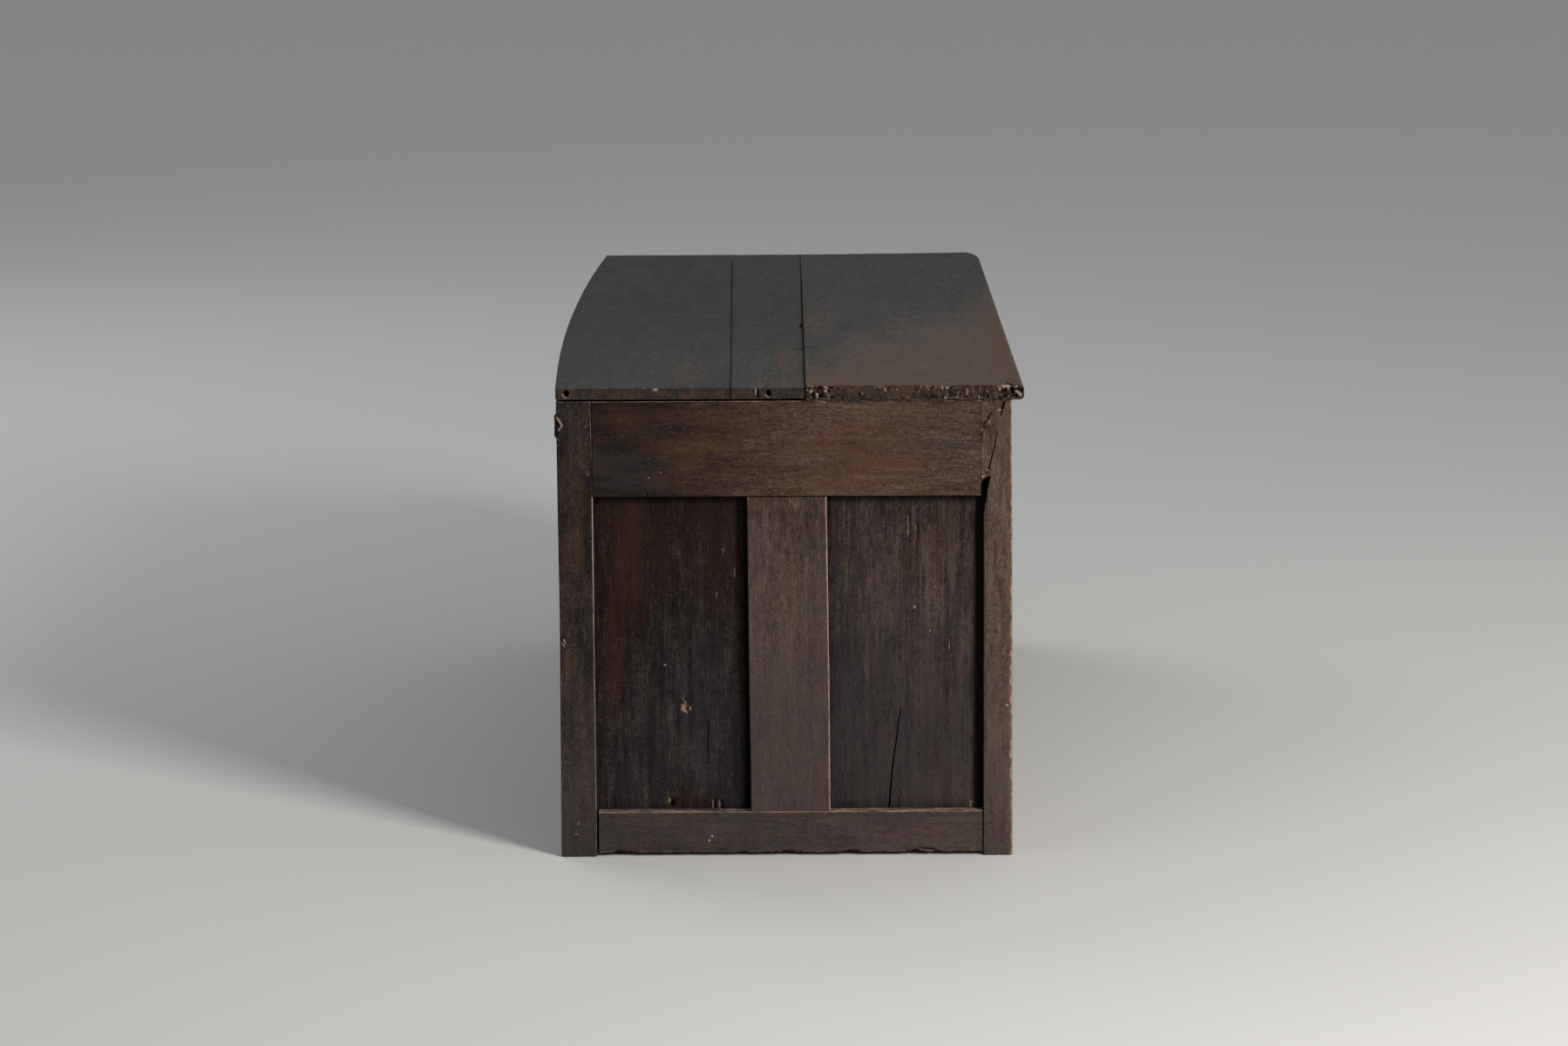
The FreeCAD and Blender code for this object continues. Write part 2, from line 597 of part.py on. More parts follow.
def lid_strap(x):
    """The strap under the lid, whose tongue rolls into the middle knuckle."""
    half = STRAP_WIDTH / 2
    z = (STRAP_UNDERSIDE, THIN_UNDERSIDE)
    tip = Part.makeCylinder(half, STRAP_THICKNESS, FreeCAD.Vector(x, strap_tip_y(), z[0]), UP)
    plate = block((x - half, x + half), (strap_tip_y(), REAR_FACE), z)
    middle = (x - KNUCKLE_LENGTH / 2, x + KNUCKLE_LENGTH / 2)
    tongue = block(middle, (REAR_FACE - ROLL_OVERLAP, HINGE_AXIS_Y), z)
    solid = join([plate, tip, tongue, knuckle(middle)])
    cutters = [pin_bore(x)]
    cutters += [nail_hole(seat, UP, STRAP_NAIL_LENGTH) for seat in strap_nail_seats(x)]
    return cut_all(solid, cutters)


def back_leaf(x):
    """The leaf on the back of the chest, which rolls into the two outer knuckles."""
    half = STRAP_WIDTH / 2
    y = (REAR_FACE, REAR_FACE + STRAP_THICKNESS)
    low = HINGE_AXIS_Z - LEAF_LENGTH
    shoulder = HINGE_AXIS_Z - KNUCKLE_RADIUS - KNUCKLE_GAP
    tip_middle = FreeCAD.Vector(x, REAR_FACE, low + half)
    pieces = [
        block((x - half, x + half), y, (low + half, shoulder)),
        Part.makeCylinder(half, STRAP_THICKNESS, tip_middle, -FORWARD),
    ]
    for x_range in outer_knuckle_ranges(x):
        pieces.append(block(x_range, y, (shoulder - ROLL_OVERLAP, HINGE_AXIS_Z)))
        pieces.append(knuckle(x_range))
    cutters = [pin_bore(x)]
    cutters += [nail_hole(seat, FORWARD, LEAF_NAIL_LENGTH) for seat in leaf_nail_seats(x)]
    return cut_all(join(pieces), cutters)


def hinge_pin(x):
    """The pin, riveted over at both ends against the back leaf's knuckles."""
    half = STRAP_WIDTH / 2
    low = FreeCAD.Vector(x - half, HINGE_AXIS_Y, HINGE_AXIS_Z)
    high = FreeCAD.Vector(x + half, HINGE_AXIS_Y, HINGE_AXIS_Z)
    shaft = Part.makeCylinder(HINGE_PIN_RADIUS, STRAP_WIDTH, low, ALONG)
    heads = [
        Part.makeCone(PIN_HEAD_RADIUS, HINGE_PIN_RADIUS, PIN_HEAD_HEIGHT, low, -ALONG),
        Part.makeCone(PIN_HEAD_RADIUS, HINGE_PIN_RADIUS, PIN_HEAD_HEIGHT, high, ALONG),
    ]
    return join([shaft] + heads)


def strap_nails():
    """The nails of both lid straps."""
    seats = [seat for x in hinge_middles().values() for seat in strap_nail_seats(x)]
    return Part.Compound([nail(seat, UP, STRAP_NAIL_LENGTH) for seat in seats])


def leaf_nails():
    """The nails of both back leaves."""
    seats = [seat for x in hinge_middles().values() for seat in leaf_nail_seats(x)]
    return Part.Compound([nail(seat, FORWARD, LEAF_NAIL_LENGTH) for seat in seats])


# ---- Lid ----

def rear_seam(share):
    """The Y of the seam behind the middle board, at a share of the lid's length from its left end."""
    width = MIDDLE_BOARD_LEFT_WIDTH + share * (MIDDLE_BOARD_RIGHT_WIDTH - MIDDLE_BOARD_LEFT_WIDTH)
    return FRONT_SEAM + width


def batten_middles():
    """Where the battens stand along X, left then right."""
    return {"left": -BATTEN_X, "right": BATTEN_X}


def batten_nail_seats(x):
    """Where the nails of one batten bear, under it: a pair for each lid board."""
    share = (x + LID_END) / (2 * LID_END)
    seam = rear_seam(share)
    spans = [(BATTEN_FRONT, FRONT_SEAM), (FRONT_SEAM, seam), (seam, BATTEN_REAR)]
    seats = []
    for low, high in spans:
        quarter = (high - low) / 4
        seats.append(FreeCAD.Vector(x - BATTEN_WIDTH / 5, low + quarter, BATTEN_UNDERSIDE))
        seats.append(FreeCAD.Vector(x + BATTEN_WIDTH / 5, high - quarter, BATTEN_UNDERSIDE))
    return seats


def all_batten_nail_seats():
    """The seats of the nails of both battens."""
    return [seat for x in batten_middles().values() for seat in batten_nail_seats(x)]


def lid_nail_holes():
    """The holes that battens' and straps' nails make in the lid boards."""
    cutters = [nail_hole(seat, UP, BATTEN_NAIL_LENGTH) for seat in all_batten_nail_seats()]
    for x in hinge_middles().values():
        cutters += [nail_hole(seat, UP, STRAP_NAIL_LENGTH) for seat in strap_nail_seats(x)]
    return cutters


def cleat_holes():
    """Empty peg holes in the end grain of the rear and middle boards, at both ends."""
    z = THIN_UNDERSIDE + THIN_BOARD / 2
    holes = []
    for sign, share, edge in ((-1, 0, REAR_FACE), (1, 1, REAR_FACE - LID_REAR_TAPER)):
        for y in (edge - CLEAT_HOLE_EDGE - CLEAT_HOLE_RADIUS, (FRONT_SEAM + rear_seam(share)) / 2):
            start = FreeCAD.Vector(sign * (LID_END + CUT_PAST), y, z)
            length = CLEAT_HOLE_DEPTH + CUT_PAST
            holes.append(Part.makeCylinder(CLEAT_HOLE_RADIUS, length, start, ALONG * -sign))
    return holes


def lid_board_rear():
    """The rear board. Its rear edge is one long bow."""
    z = THIN_UNDERSIDE
    left = FreeCAD.Vector(-LID_END, REAR_FACE, z)
    crown = FreeCAD.Vector(0, REAR_FACE + LID_REAR_BOW, z)
    right = FreeCAD.Vector(LID_END, REAR_FACE - LID_REAR_TAPER, z)
    inner_right = FreeCAD.Vector(LID_END, rear_seam(1) + LID_BOARD_GAP, z)
    inner_left = FreeCAD.Vector(-LID_END, rear_seam(0) + LID_BOARD_GAP, z)
    edges = [
        Part.Arc(left, crown, right).toShape(),
        Part.makeLine(right, inner_right),
        Part.makeLine(inner_right, inner_left),
        Part.makeLine(inner_left, left),
    ]
    solid = Part.Face(Part.Wire(edges)).extrude(UP * THIN_BOARD)
    cutters = lid_nail_holes() + cleat_holes()
    reliefs = [x_range for x in hinge_middles().values() for x_range in outer_knuckle_ranges(x)]
    for low, high in reliefs:
        start = FreeCAD.Vector(low - KNUCKLE_GAP, HINGE_AXIS_Y, HINGE_AXIS_Z)
        length = high - low + 2 * KNUCKLE_GAP
        cutters.append(Part.makeCylinder(KNUCKLE_RADIUS + KNUCKLE_GAP, length, start, ALONG))
    return cut_all(solid, cutters)


def lid_board_middle():
    """The narrow middle board, a little wider at its right end."""
    z = THIN_UNDERSIDE
    low = FRONT_SEAM + LID_BOARD_GAP
    points = [
        FreeCAD.Vector(-LID_END, low, z),
        FreeCAD.Vector(LID_END, low, z),
        FreeCAD.Vector(LID_END, rear_seam(1), z),
        FreeCAD.Vector(-LID_END, rear_seam(0), z),
    ]
    return cut_all(prism(points, UP * THIN_BOARD), lid_nail_holes() + cleat_holes())


def lid_board_front():
    """The thick front board, with a rounded front edge."""
    z = (FRONT_UNDERSIDE, FRONT_UNDERSIDE + FRONT_BOARD)
    solid = block((-LID_END, LID_END), (LID_FRONT, FRONT_SEAM), z)
    nosing = [
        edge for edge in solid.Edges
        if abs(edge.CenterOfMass.y - LID_FRONT) < SAME_PLACE and abs(edge.CenterOfMass.x) < SAME_PLACE
    ]
    radius = min(NOSING_RADIUS, FRONT_BOARD * NOSING_LIMIT)
    return cut_all(solid.makeFillet(radius, nosing), lid_nail_holes())


def lid_batten(x):
    """A batten across the boards, stepped on top to seat under both board thicknesses."""
    start = x - BATTEN_WIDTH / 2
    step_y = FRONT_SEAM + LID_BOARD_GAP / 2
    outline = [
        (BATTEN_FRONT, BATTEN_UNDERSIDE),
        (BATTEN_REAR, BATTEN_UNDERSIDE),
        (BATTEN_REAR, THIN_UNDERSIDE),
        (step_y, THIN_UNDERSIDE),
        (step_y, FRONT_UNDERSIDE),
        (BATTEN_FRONT, FRONT_UNDERSIDE),
    ]
    points = [FreeCAD.Vector(start, y, z) for y, z in outline]
    cutters = [nail_hole(seat, UP, BATTEN_NAIL_LENGTH) for seat in batten_nail_seats(x)]
    return cut_all(prism(points, ALONG * BATTEN_WIDTH), cutters)


def batten_nails():
    """The nails of both battens."""
    return Part.Compound([nail(seat, UP, BATTEN_NAIL_LENGTH) for seat in all_batten_nail_seats()])


# ---- The whole chest ----

def panel_names(side):
    """Names for a side's panels, in the order of u."""
    if side.name in ENDS:
        return [f"{side.name}_end_panel_front", f"{side.name}_end_panel_rear"]
    count = len(side.openings())
    return [f"{side.name}_panel_{n + 1}" for n in range(count)]


def muntin_names(side):
    """Names for a side's muntins, in the order of u."""
    if side.name in ENDS:
        return [f"{side.name}_end_muntin"]
    return [f"{side.name}_muntin_{n + 1}" for n in range(len(side.muntin_middles))]


def side_pieces(side):
    """Every piece of one framed side."""
    stem = f"{side.name}_end" if side.name in ENDS else side.name
    pieces = {
        f"{stem}_top_rail": top_rail(side),
        f"{stem}_bottom_rail": bottom_rail(side),
        f"{stem}_pegs": pegs(side),
    }
    muntins = [muntin(side, middle) for middle in side.muntin_middles]
    panels = [panel(side, u_range) for u_range in side.openings()]
    pieces.update(zip(muntin_names(side), muntins))
    pieces.update(zip(panel_names(side), panels))
    return pieces


def chest_pieces():
    """Name to shape, for the whole chest."""
    pieces = {
        "front_left_post": post(True, True),
        "front_right_post": post(False, True),
        "rear_left_post": post(True, False),
        "rear_right_post": post(False, False),
    }
    for side in SIDES.values():
        pieces.update(side_pieces(side))
    for n, y_range in enumerate(floor_board_ranges()):
        pieces[f"floor_board_{n + 1}"] = floor_board(y_range)
    pieces["floor_bearer"] = floor_bearer()
    pieces["floor_nails"] = floor_nails()
    pieces["lid_board_rear"] = lid_board_rear()
    pieces["lid_board_middle"] = lid_board_middle()
    pieces["lid_board_front"] = lid_board_front()
    for hand, x in batten_middles().items():
        pieces[f"lid_batten_{hand}"] = lid_batten(x)
    pieces["batten_nails"] = batten_nails()
    for hand, x in hinge_middles().items():
        pieces[f"{hand}_hinge_strap"] = lid_strap(x)
        pieces[f"{hand}_hinge_leaf"] = back_leaf(x)
        pieces[f"{hand}_hinge_pin"] = hinge_pin(x)
    pieces["strap_nails"] = strap_nails()
    pieces["leaf_nails"] = leaf_nails()
    return pieces


def main():
    """Writes one STEP file for each piece."""
    os.makedirs("parts", exist_ok=True)
    for name, shape in chest_pieces().items():
        if not shape.isValid() or not shape.Solids:
            raise ValueError(f"{name} isn't a valid solid")
        shape.exportStep(f"parts/{name}.step")


main()
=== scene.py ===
"""The finish of a panelled oak blanket chest: worn boards, pegs, forged hinges, light and camera.

Shapes are worked out in millimetres, in the part's own frame, and go into the meshes in metres.
X runs along the chest and the front faces -Y. Left and right are as seen from the front.
"""

import json
import math
import zlib

import bpy
import numpy as np
from mathutils import Matrix, Vector


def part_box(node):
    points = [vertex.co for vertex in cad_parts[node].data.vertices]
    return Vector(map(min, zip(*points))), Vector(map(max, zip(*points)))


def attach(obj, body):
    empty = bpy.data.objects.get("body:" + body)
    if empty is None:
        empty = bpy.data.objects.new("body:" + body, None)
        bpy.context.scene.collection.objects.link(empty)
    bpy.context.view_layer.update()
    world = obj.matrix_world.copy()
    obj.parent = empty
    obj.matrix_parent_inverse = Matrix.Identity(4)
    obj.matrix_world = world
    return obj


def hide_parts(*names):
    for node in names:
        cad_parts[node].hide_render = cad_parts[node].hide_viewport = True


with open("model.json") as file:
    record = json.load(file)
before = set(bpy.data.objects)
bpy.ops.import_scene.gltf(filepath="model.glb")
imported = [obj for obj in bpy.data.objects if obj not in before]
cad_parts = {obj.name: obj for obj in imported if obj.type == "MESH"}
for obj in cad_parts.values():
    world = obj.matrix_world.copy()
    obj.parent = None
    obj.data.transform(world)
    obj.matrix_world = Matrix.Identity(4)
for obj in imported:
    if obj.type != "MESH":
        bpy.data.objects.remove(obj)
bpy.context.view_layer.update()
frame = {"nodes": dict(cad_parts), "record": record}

MM = 0.001
X, Y, Z = 0, 1, 2
LEFT, RIGHT, FRONT, REAR, UP, DOWN = (X, -1), (X, 1), (Y, -1), (Y, 1), (Z, 1), (Z, -1)


# ---- Numbers and noise ----

STRIDES = np.array([374761393, 668265263, 2147483629], np.uint64)
MIXERS = np.uint64(1274126177), np.uint64(2246822519)
WORD = np.uint64(0xFFFFFFFF)
SEED_STEP = 362437         # how far apart two seeds' numbers start
PAST_ZERO = 4096.5         # cells are counted from here, so that none has a number below 0


def smooth(value, start, end):
    """0 below start, 1 above end, and an S-shaped rise between them."""
    t = np.clip((value - start) / (end - start), 0, 1)
    return t * t * (3 - 2 * t)


def scrambled(h):
    """Whole numbers turned to numbers from 0 to 1 with no pattern, by multiplying and shifting."""
    h = h & WORD
    h = ((h ^ (h >> np.uint64(13))) * MIXERS[0]) & WORD
    h = ((h ^ (h >> np.uint64(16))) * MIXERS[1]) & WORD
    return (h ^ (h >> np.uint64(15))).astype(float) / float(WORD)


def cell_key(cells, seed):
    """One whole number for each row of three whole numbers."""
    return (cells.astype(np.uint64) * STRIDES).sum(axis=1) + np.uint64(seed * SEED_STEP)


def hashed(cells, seed):
    """A number from 0 to 1 for each row of three whole numbers."""
    return scrambled(cell_key(cells, seed))


def noise(at, size, seed, octaves=1):
    """Smooth noise from -1 to 1: random values at the corners of cells of that size in mm,
    blended across each cell, and each further octave half as large and half as strong."""
    total = np.zeros(len(at))
    strength, reach = 1, 0
    for octave in range(octaves):
        q = at / (np.asarray(size, float) / 2**octave) + PAST_ZERO
        cell = np.floor(q)
        t = smooth(q - cell, 0, 1)
        start = cell_key(cell, seed + 17 * octave)
        shares = (1 - t, t)
        value = 0
        for corner in np.ndindex(2, 2, 2):
            share = shares[corner[0]][:, 0] * shares[corner[1]][:, 1] * shares[corner[2]][:, 2]
            value = value + share * scrambled(start + np.array(corner, np.uint64) @ STRIDES)
        total += strength * (2 * value - 1)
        reach += strength
        strength *= 0.5
    return total / reach


def seed_of(name):
    """A fixed seed for a piece, from its name."""
    return zlib.crc32(name.encode()) % 9973


def room(node):
    """A CAD node's lowest and highest corners, in mm."""
    low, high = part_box(node)
    return np.array(low) / MM, np.array(high) / MM


# ---- Boards ----

ARRIS_LINES = np.array([0, 0.16, 0.38, 0.66, 1.05])    # grid lines round an arris, over its width
NO_FINE = ((), (), ())


def lines(low, high, step, close, fine=()):
    """Grid lines from low to high: crowded within close of both ends, step apart between them,
    and as near as asked inside each fine (start, end, step) stretch."""
    near = close * ARRIS_LINES
    count = max(2, int(round((high - low - 2 * near[-1]) / step)) + 1)
    every = [low + near, high - near, np.linspace(low + near[-1], high - near[-1], count)]
    for start, end, fine_step in fine:
        start, end = max(start, low + near[-1]), min(end, high - near[-1])
        if end > start:
            every.append(np.arange(start, end, fine_step))
    found = np.unique(np.concatenate(every))
    keep = np.ones(len(found), bool)
    smallest = 0.5 * min([close * ARRIS_LINES[1], step] + [f[2] for f in fine])
    keep[1:] = np.diff(found) > smallest
    keep[-1] = True
    return found[keep]


class Skin:
    """The outside of one board with rounded arrises, as arrays with a row for each vertex.

    at is the place on the plain box in mm, out the way the surface faces there, and edge the
    distance to the nearest arris. lift is how far the surface moves along out. shade, warmth,
    wear and grime steer the finish: the last darkens real dirt and, in places,
    painted shade. move is any other shift of the vertex. butts are the
    ways in which the board meets its neighbours: the arrises are sharper there, and dirty.
    Marks are placed from origin.
    """

    def __init__(self, low, high, grid, along, rounding, seed, butts):
        counts = [len(g) for g in grid]
        shell = np.zeros(counts, bool)
        for axis in range(3):
            np.moveaxis(shell, axis, 0)[[0, -1]] = True
        ids = np.full(counts, -1, np.int64)
        ids[shell] = np.arange(shell.sum())
        self.at = np.stack([grid[a][index] for a, index in enumerate(np.nonzero(shell))], axis=1)
        self.faces = np.concatenate([quads(ids, axis, end) for axis in range(3) for end in (0, -1)])
        self.low, self.high = np.array(low, float), np.array(high, float)
        self.along, self.seed, self.origin = along, seed, np.zeros(3)
        inset = np.minimum(self.at - self.low, self.high - self.at)
        self.edge = np.sort(inset, axis=1)[:, 1]
        no_joint = np.full(len(self.at), 99)
        joint = np.min([self.depth(way) for way in butts] + [no_joint], axis=0)
        radius = rounding * (1 + 0.45 * noise(self.at, 45, seed + 1, 2))
        radius = (radius * (0.35 + 0.65 * smooth(joint, 0, 5)))[:, None]
        core = np.clip(self.at, self.low + radius, self.high - radius)
        away = self.at - core
        self.out = away / np.linalg.norm(away, axis=1)[:, None]
        self.place = core + radius * self.out
        self.lift, self.shade, self.warmth = np.zeros((3, len(self.at)))
        self.free = smooth(joint, 0.5, 6)
        self.grime = 0.85 * smooth(joint, 1.5, 0.2)
        self.wear = 0.3 * np.clip(1 - self.edge / 1.8, 0, 1) * smooth(joint, 0.5, 4)
        self.move = np.zeros_like(self.at)

    def depth(self, way):
        """How far each point is in from the face on that side."""
        axis, sign = way
        return self.high[axis] - self.at[:, axis] if sign > 0 else self.at[:, axis] - self.low[axis]

    def share(self, axis):
        """0 at the low end of the board along that axis, and 1 at its high end."""
        return (self.at[:, axis] - self.low[axis]) / (self.high[axis] - self.low[axis])

    def facing(self, way):
        """How much the surface faces one way: 0 past the middle of the arris, 1 on the flat."""
        axis, sign = way
        return smooth(sign * self.out[:, axis], 0.45, 0.8)

    def flat(self, way):
        """The two coordinates across a face, in the order of X, Y, Z, from the origin."""
        return np.delete(self.at - self.origin, way[0], axis=1)

    def darken_grime_and_shade(self, amount):
        """Darkening, at least that much: real dirt, and in places painted shade."""
        self.grime = np.maximum(self.grime, amount)

    def bare(self, amount):
        """Finish worn off, at least that much."""
        self.wear = np.maximum(self.wear, amount)

    def arris(self, one, other, width=2):
        """1 along the arris between two faces, and 0 at width from it."""
        return np.clip(1 - np.maximum(self.depth(one), self.depth(other)) / width, 0, 1)

    def rub(self, one, other, amount, width=2):
        """Wears the finish off one arris, more in some places than in others."""
        uneven = 0.75 + 0.5 * noise(self.at, 24, self.seed + 13, 3)
        self.bare(amount * uneven * self.arris(one, other, width))

    def near_path(self, way, path):
        """Distance to a line of (across, up, half width) points, over the half width there."""
        flat = self.flat(way)
        best = np.full(len(flat), np.inf)
        for (a0, b0, w0), (a1, b1, w1) in zip(path[:-1], path[1:]):
            run = np.array([a1 - a0, b1 - b0])
            t = np.clip(((flat - [a0, b0]) @ run) / (run @ run), 0, 1)
            gap = np.linalg.norm(flat - ([a0, b0] + t[:, None] * run), axis=1)
            best = np.minimum(best, gap / (w0 + t * (w1 - w0)))
        return best

    def near_oval(self, way, centre, size):
        """Distance from the centre of an oval, over its half width and half height."""
        return np.linalg.norm((self.flat(way) - centre) / size, axis=1)

    def crack(self, way, depth, lips, *path):
        """A split: a groove with steep sides along a path of (across, up, half width) points, a
        little worn at its lips."""
        near = self.near_path(way, path)
        face = self.facing(way)
        cut = np.clip(1.35 - near, 0, 1) ** 0.6 * face
        self.lift -= depth * cut
        self.darken_grime_and_shade(cut)
        self.bare(lips * smooth(near, 3, 1.6) * smooth(near, 0.9, 1.5) * face)

    def dent(self, way, centre, size, depth, soot=0.6):
        """A hollow with an oval rim: a cap of a ball, pressed in at centre."""
        bowl = np.clip(1 - self.near_oval(way, centre, size) ** 2, 0, 1) * self.facing(way)
        self.lift -= depth * bowl
        self.darken_grime_and_shade(soot * np.minimum(1, 2 * bowl))

    def spot(self, way, centre, size):
        """1 in the middle of an oval patch and 0 outside it, with a soft ragged rim."""
        ragged = 0.8 * noise(self.at, (4, 4, 6), self.seed + 5, 3)
        return smooth(self.near_oval(way, centre, size) + ragged, 1.15, 0.5) * self.facing(way)

    def flecks(self, way, *rows):
        """Small bruises where the finish is gone: ragged pale spots, slightly hollow. Each row is
        (across, up, half width, half height, amount)."""
        for across, up, wide, tall, amount in rows:
            mark = self.spot(way, (across, up), (wide, tall))
            self.lift -= 0.5 * mark
            self.bare(amount * mark)

    def clouds(self, way, *rows):
        """Broad soft patches of another tone, each fading out like a bell curve. Each row is
        (across, up, half width, half height, shade, warmth)."""
        uneven = 0.75 + 1.5 * self.grain_noise(90, 5, 61)
        for across, up, wide, tall, shade, warmth in rows:
            near = self.near_oval(way, (across, up), (wide, tall))
            bell = np.exp(-near**2) * self.facing(way) * uneven
            self.shade += shade * bell
            self.warmth += warmth * bell

    def bites(self, amount, depth, size=13, within=4):
        """Chips along the arrises: where coarse noise is high, the edge is knocked back."""
        rough = noise(self.at, size, self.seed + 3, 2)
        chip = smooth(rough, 0.62 - amount, 0.85 - amount) * np.clip(1 - self.edge / within, 0, 1)
        chip *= self.free
        self.lift -= depth * chip
        self.bare(0.6 * smooth(chip, 0.05, 0.3))

    def bend(self, heights, near_side, far_side):
        """Moves the two sides of an upright board in Y, by amounts read off against height."""
        near, far = (np.interp(self.at[:, Z], heights, side) for side in (near_side, far_side))
        self.move[:, Y] += near * (1 - self.share(Y)) + far * self.share(Y)

    def grain_noise(self, length, width, seed):
        """Noise stretched along the board's grain."""
        size = np.full(3, float(width))
        size[self.along] = length
        return noise(self.at, size, self.seed + seed, 2)

    def settle(self, swell, comb):
        """The unevenness of hand-planed wood: long shallow hollows, and ridges along the grain.
        The faces that meet a neighbour stay where they are."""
        hollow = 0.5 + 0.5 * self.grain_noise(210, 38, 7)
        ridge = 0.5 + 0.5 * self.grain_noise(60, 3.2, 9)
        self.lift -= (swell * hollow + comb * ridge) * self.free


def quads(ids, axis, end):
    """The four-sided faces of one side of a grid of vertex numbers, facing outwards."""
    g = np.moveaxis(ids, axis, 0)[end]
    corners = np.stack([g[:-1, :-1], g[:-1, 1:], g[1:, 1:], g[1:, :-1]], axis=-1).reshape(-1, 4)
    turned = (end == -1) != (axis == Y)
    return corners[:, ::-1] if turned else corners


def in_scene(name, data):
    """A new object in the scene, holding that mesh, lamp or camera."""
    made = bpy.data.objects.new(name, data)
    bpy.context.scene.collection.objects.link(made)
    return made


def dressed(name, node, slot, material, places, faces, **attributes):
    """A smooth-shaded piece in a CAD node's place, from vertex places in mm. Each attribute has
    one number or one vector per vertex."""
    mesh = bpy.data.meshes.new(name)
    mesh.vertices.add(len(places))
    mesh.vertices.foreach_set("co", (places * MM).astype(np.float32).ravel())
    mesh.loops.add(faces.size)
    mesh.loops.foreach_set("vertex_index", faces.astype(np.int32).ravel())
    mesh.polygons.add(len(faces))
    mesh.polygons.foreach_set("loop_start", np.arange(0, faces.size, 4, dtype=np.int32))
    mesh.update(calc_edges=True)
    mesh.polygons.foreach_set("use_smooth", np.ones(len(faces), bool))
    for key, values in attributes.items():
        kind, field = ("FLOAT_VECTOR", "vector") if values.ndim == 2 else ("FLOAT", "value")
        made = mesh.attributes.new(key, kind, "POINT")
        made.data.foreach_set(field, values.astype(np.float32).ravel())
    mesh.materials.append(material)
    mesh.validate()
    piece = in_scene(name, mesh)
    groups = frame["record"]["behaviour"]["bodies"]
    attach(piece, next(body for body, nodes in groups.items() if node in nodes))
    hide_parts(node)


def board(node, slot, material, along, low=None, high=None, step=(4, 4, 4), rounding=1,
          fine=NO_FINE, tone=(0, 0), work=None, swell=0.35, comb=0.12, butts=()):
    """One worn board in place of a CAD node.

    The box's surface is drawn as a grid, its arrises rounded to that radius, and each point is
    then moved along the surface's own direction by the board's unevenness and marks. timber
    gives each point its place in the log, along, across and through the grain.
    """
    cad_low, cad_high = room(node)
    low = cad_low if low is None else np.array(low, float)
    high = cad_high if high is None else np.array(high, float)
    seed = seed_of(node)
    grid = [lines(low[a], high[a], step[a], 1.5 * rounding, fine[a]) for a in range(3)]
    skin = Skin(low, high, grid, along, rounding, seed, butts)
    skin.settle(swell, comb)
    if work:
        work(skin)
    places = skin.place + skin.out * skin.lift[:, None] + skin.move

    middle = (low + high) / 2
    wide, thin = sorted((a for a in range(3) if a != along), key=lambda a: low[a] - high[a])
    luck = hashed(np.array([[seed, 1, 2], [seed, 3, 4], [seed, 5, 6]]), 11)
    pith_across = (luck[0] - 0.5) * 1.4 * (high[wide] - low[wide])
    pith_below = 45 + 120 * luck[1]
    timber = np.stack([skin.at[:, along] + 5000 * luck[2],
                       skin.at[:, wide] - middle[wide] + pith_across,
                       skin.at[:, thin] - middle[thin] + pith_below], axis=1)
    finish = np.stack([skin.shade + tone[0], skin.warmth + tone[1], skin.wear], axis=1)
    dressed(f"{node}_worn", node, slot, material, places, skin.faces, timber=timber, finish=finish,
            grime=skin.grime)


# ---- Materials ----

# Pale specks: dust, and painted glints of light on the finish.
DUST_AND_GLINTS = "#8f837a"


def linear(text):
    """An sRGB hex colour as the linear RGBA that a node takes."""
    parts = [int(text[i:i + 2], 16) / 255 for i in (1, 3, 5)]
    return [p / 12.92 if p <= 0.04045 else ((p + 0.055) / 1.055) ** 2.4 for p in parts] + [1]


def add(tree, kind, links=None, stops=None, **settings):
    """Adds a node. links gives each input a value or another node's socket, and stops a ramp's
    colours."""
    made = tree.nodes.new(kind)
    for key, value in settings.items():
        setattr(made, key, value)
    for key, value in (links or {}).items():
        if isinstance(value, bpy.types.NodeSocket):
            tree.links.new(value, made.inputs[key])
        else:
            made.inputs[key].default_value = value
    if stops:
        ramp = made.color_ramp
        while len(ramp.elements) < len(stops):
            ramp.elements.new(0.5)
        for element, (place, colour) in zip(ramp.elements, stops):
            element.position = place
            element.color = linear(colour)
    return made


def blank(name):
    """A new material, its empty tree, and its Principled shader joined to the output."""
    material = bpy.data.materials.new(name)
    material.use_nodes = True
    tree = material.node_tree
    tree.nodes.clear()
    shader = add(tree, "ShaderNodeBsdfPrincipled")
    add(tree, "ShaderNodeOutputMaterial", {"Surface": shader.outputs["BSDF"]})
    return material, tree, shader


def cover(tree, shader, colour, rough, height, strength, depth):
    """Gives the shader its colour, its roughness and a relief that deep."""
    bump = add(tree, "ShaderNodeBump", {"Height": height, "Strength": strength, "Distance": depth})
    for key, socket in (("Base Color", colour), ("Roughness", rough), ("Normal", bump.outputs[0])):
        tree.links.new(socket, shader.inputs[key])


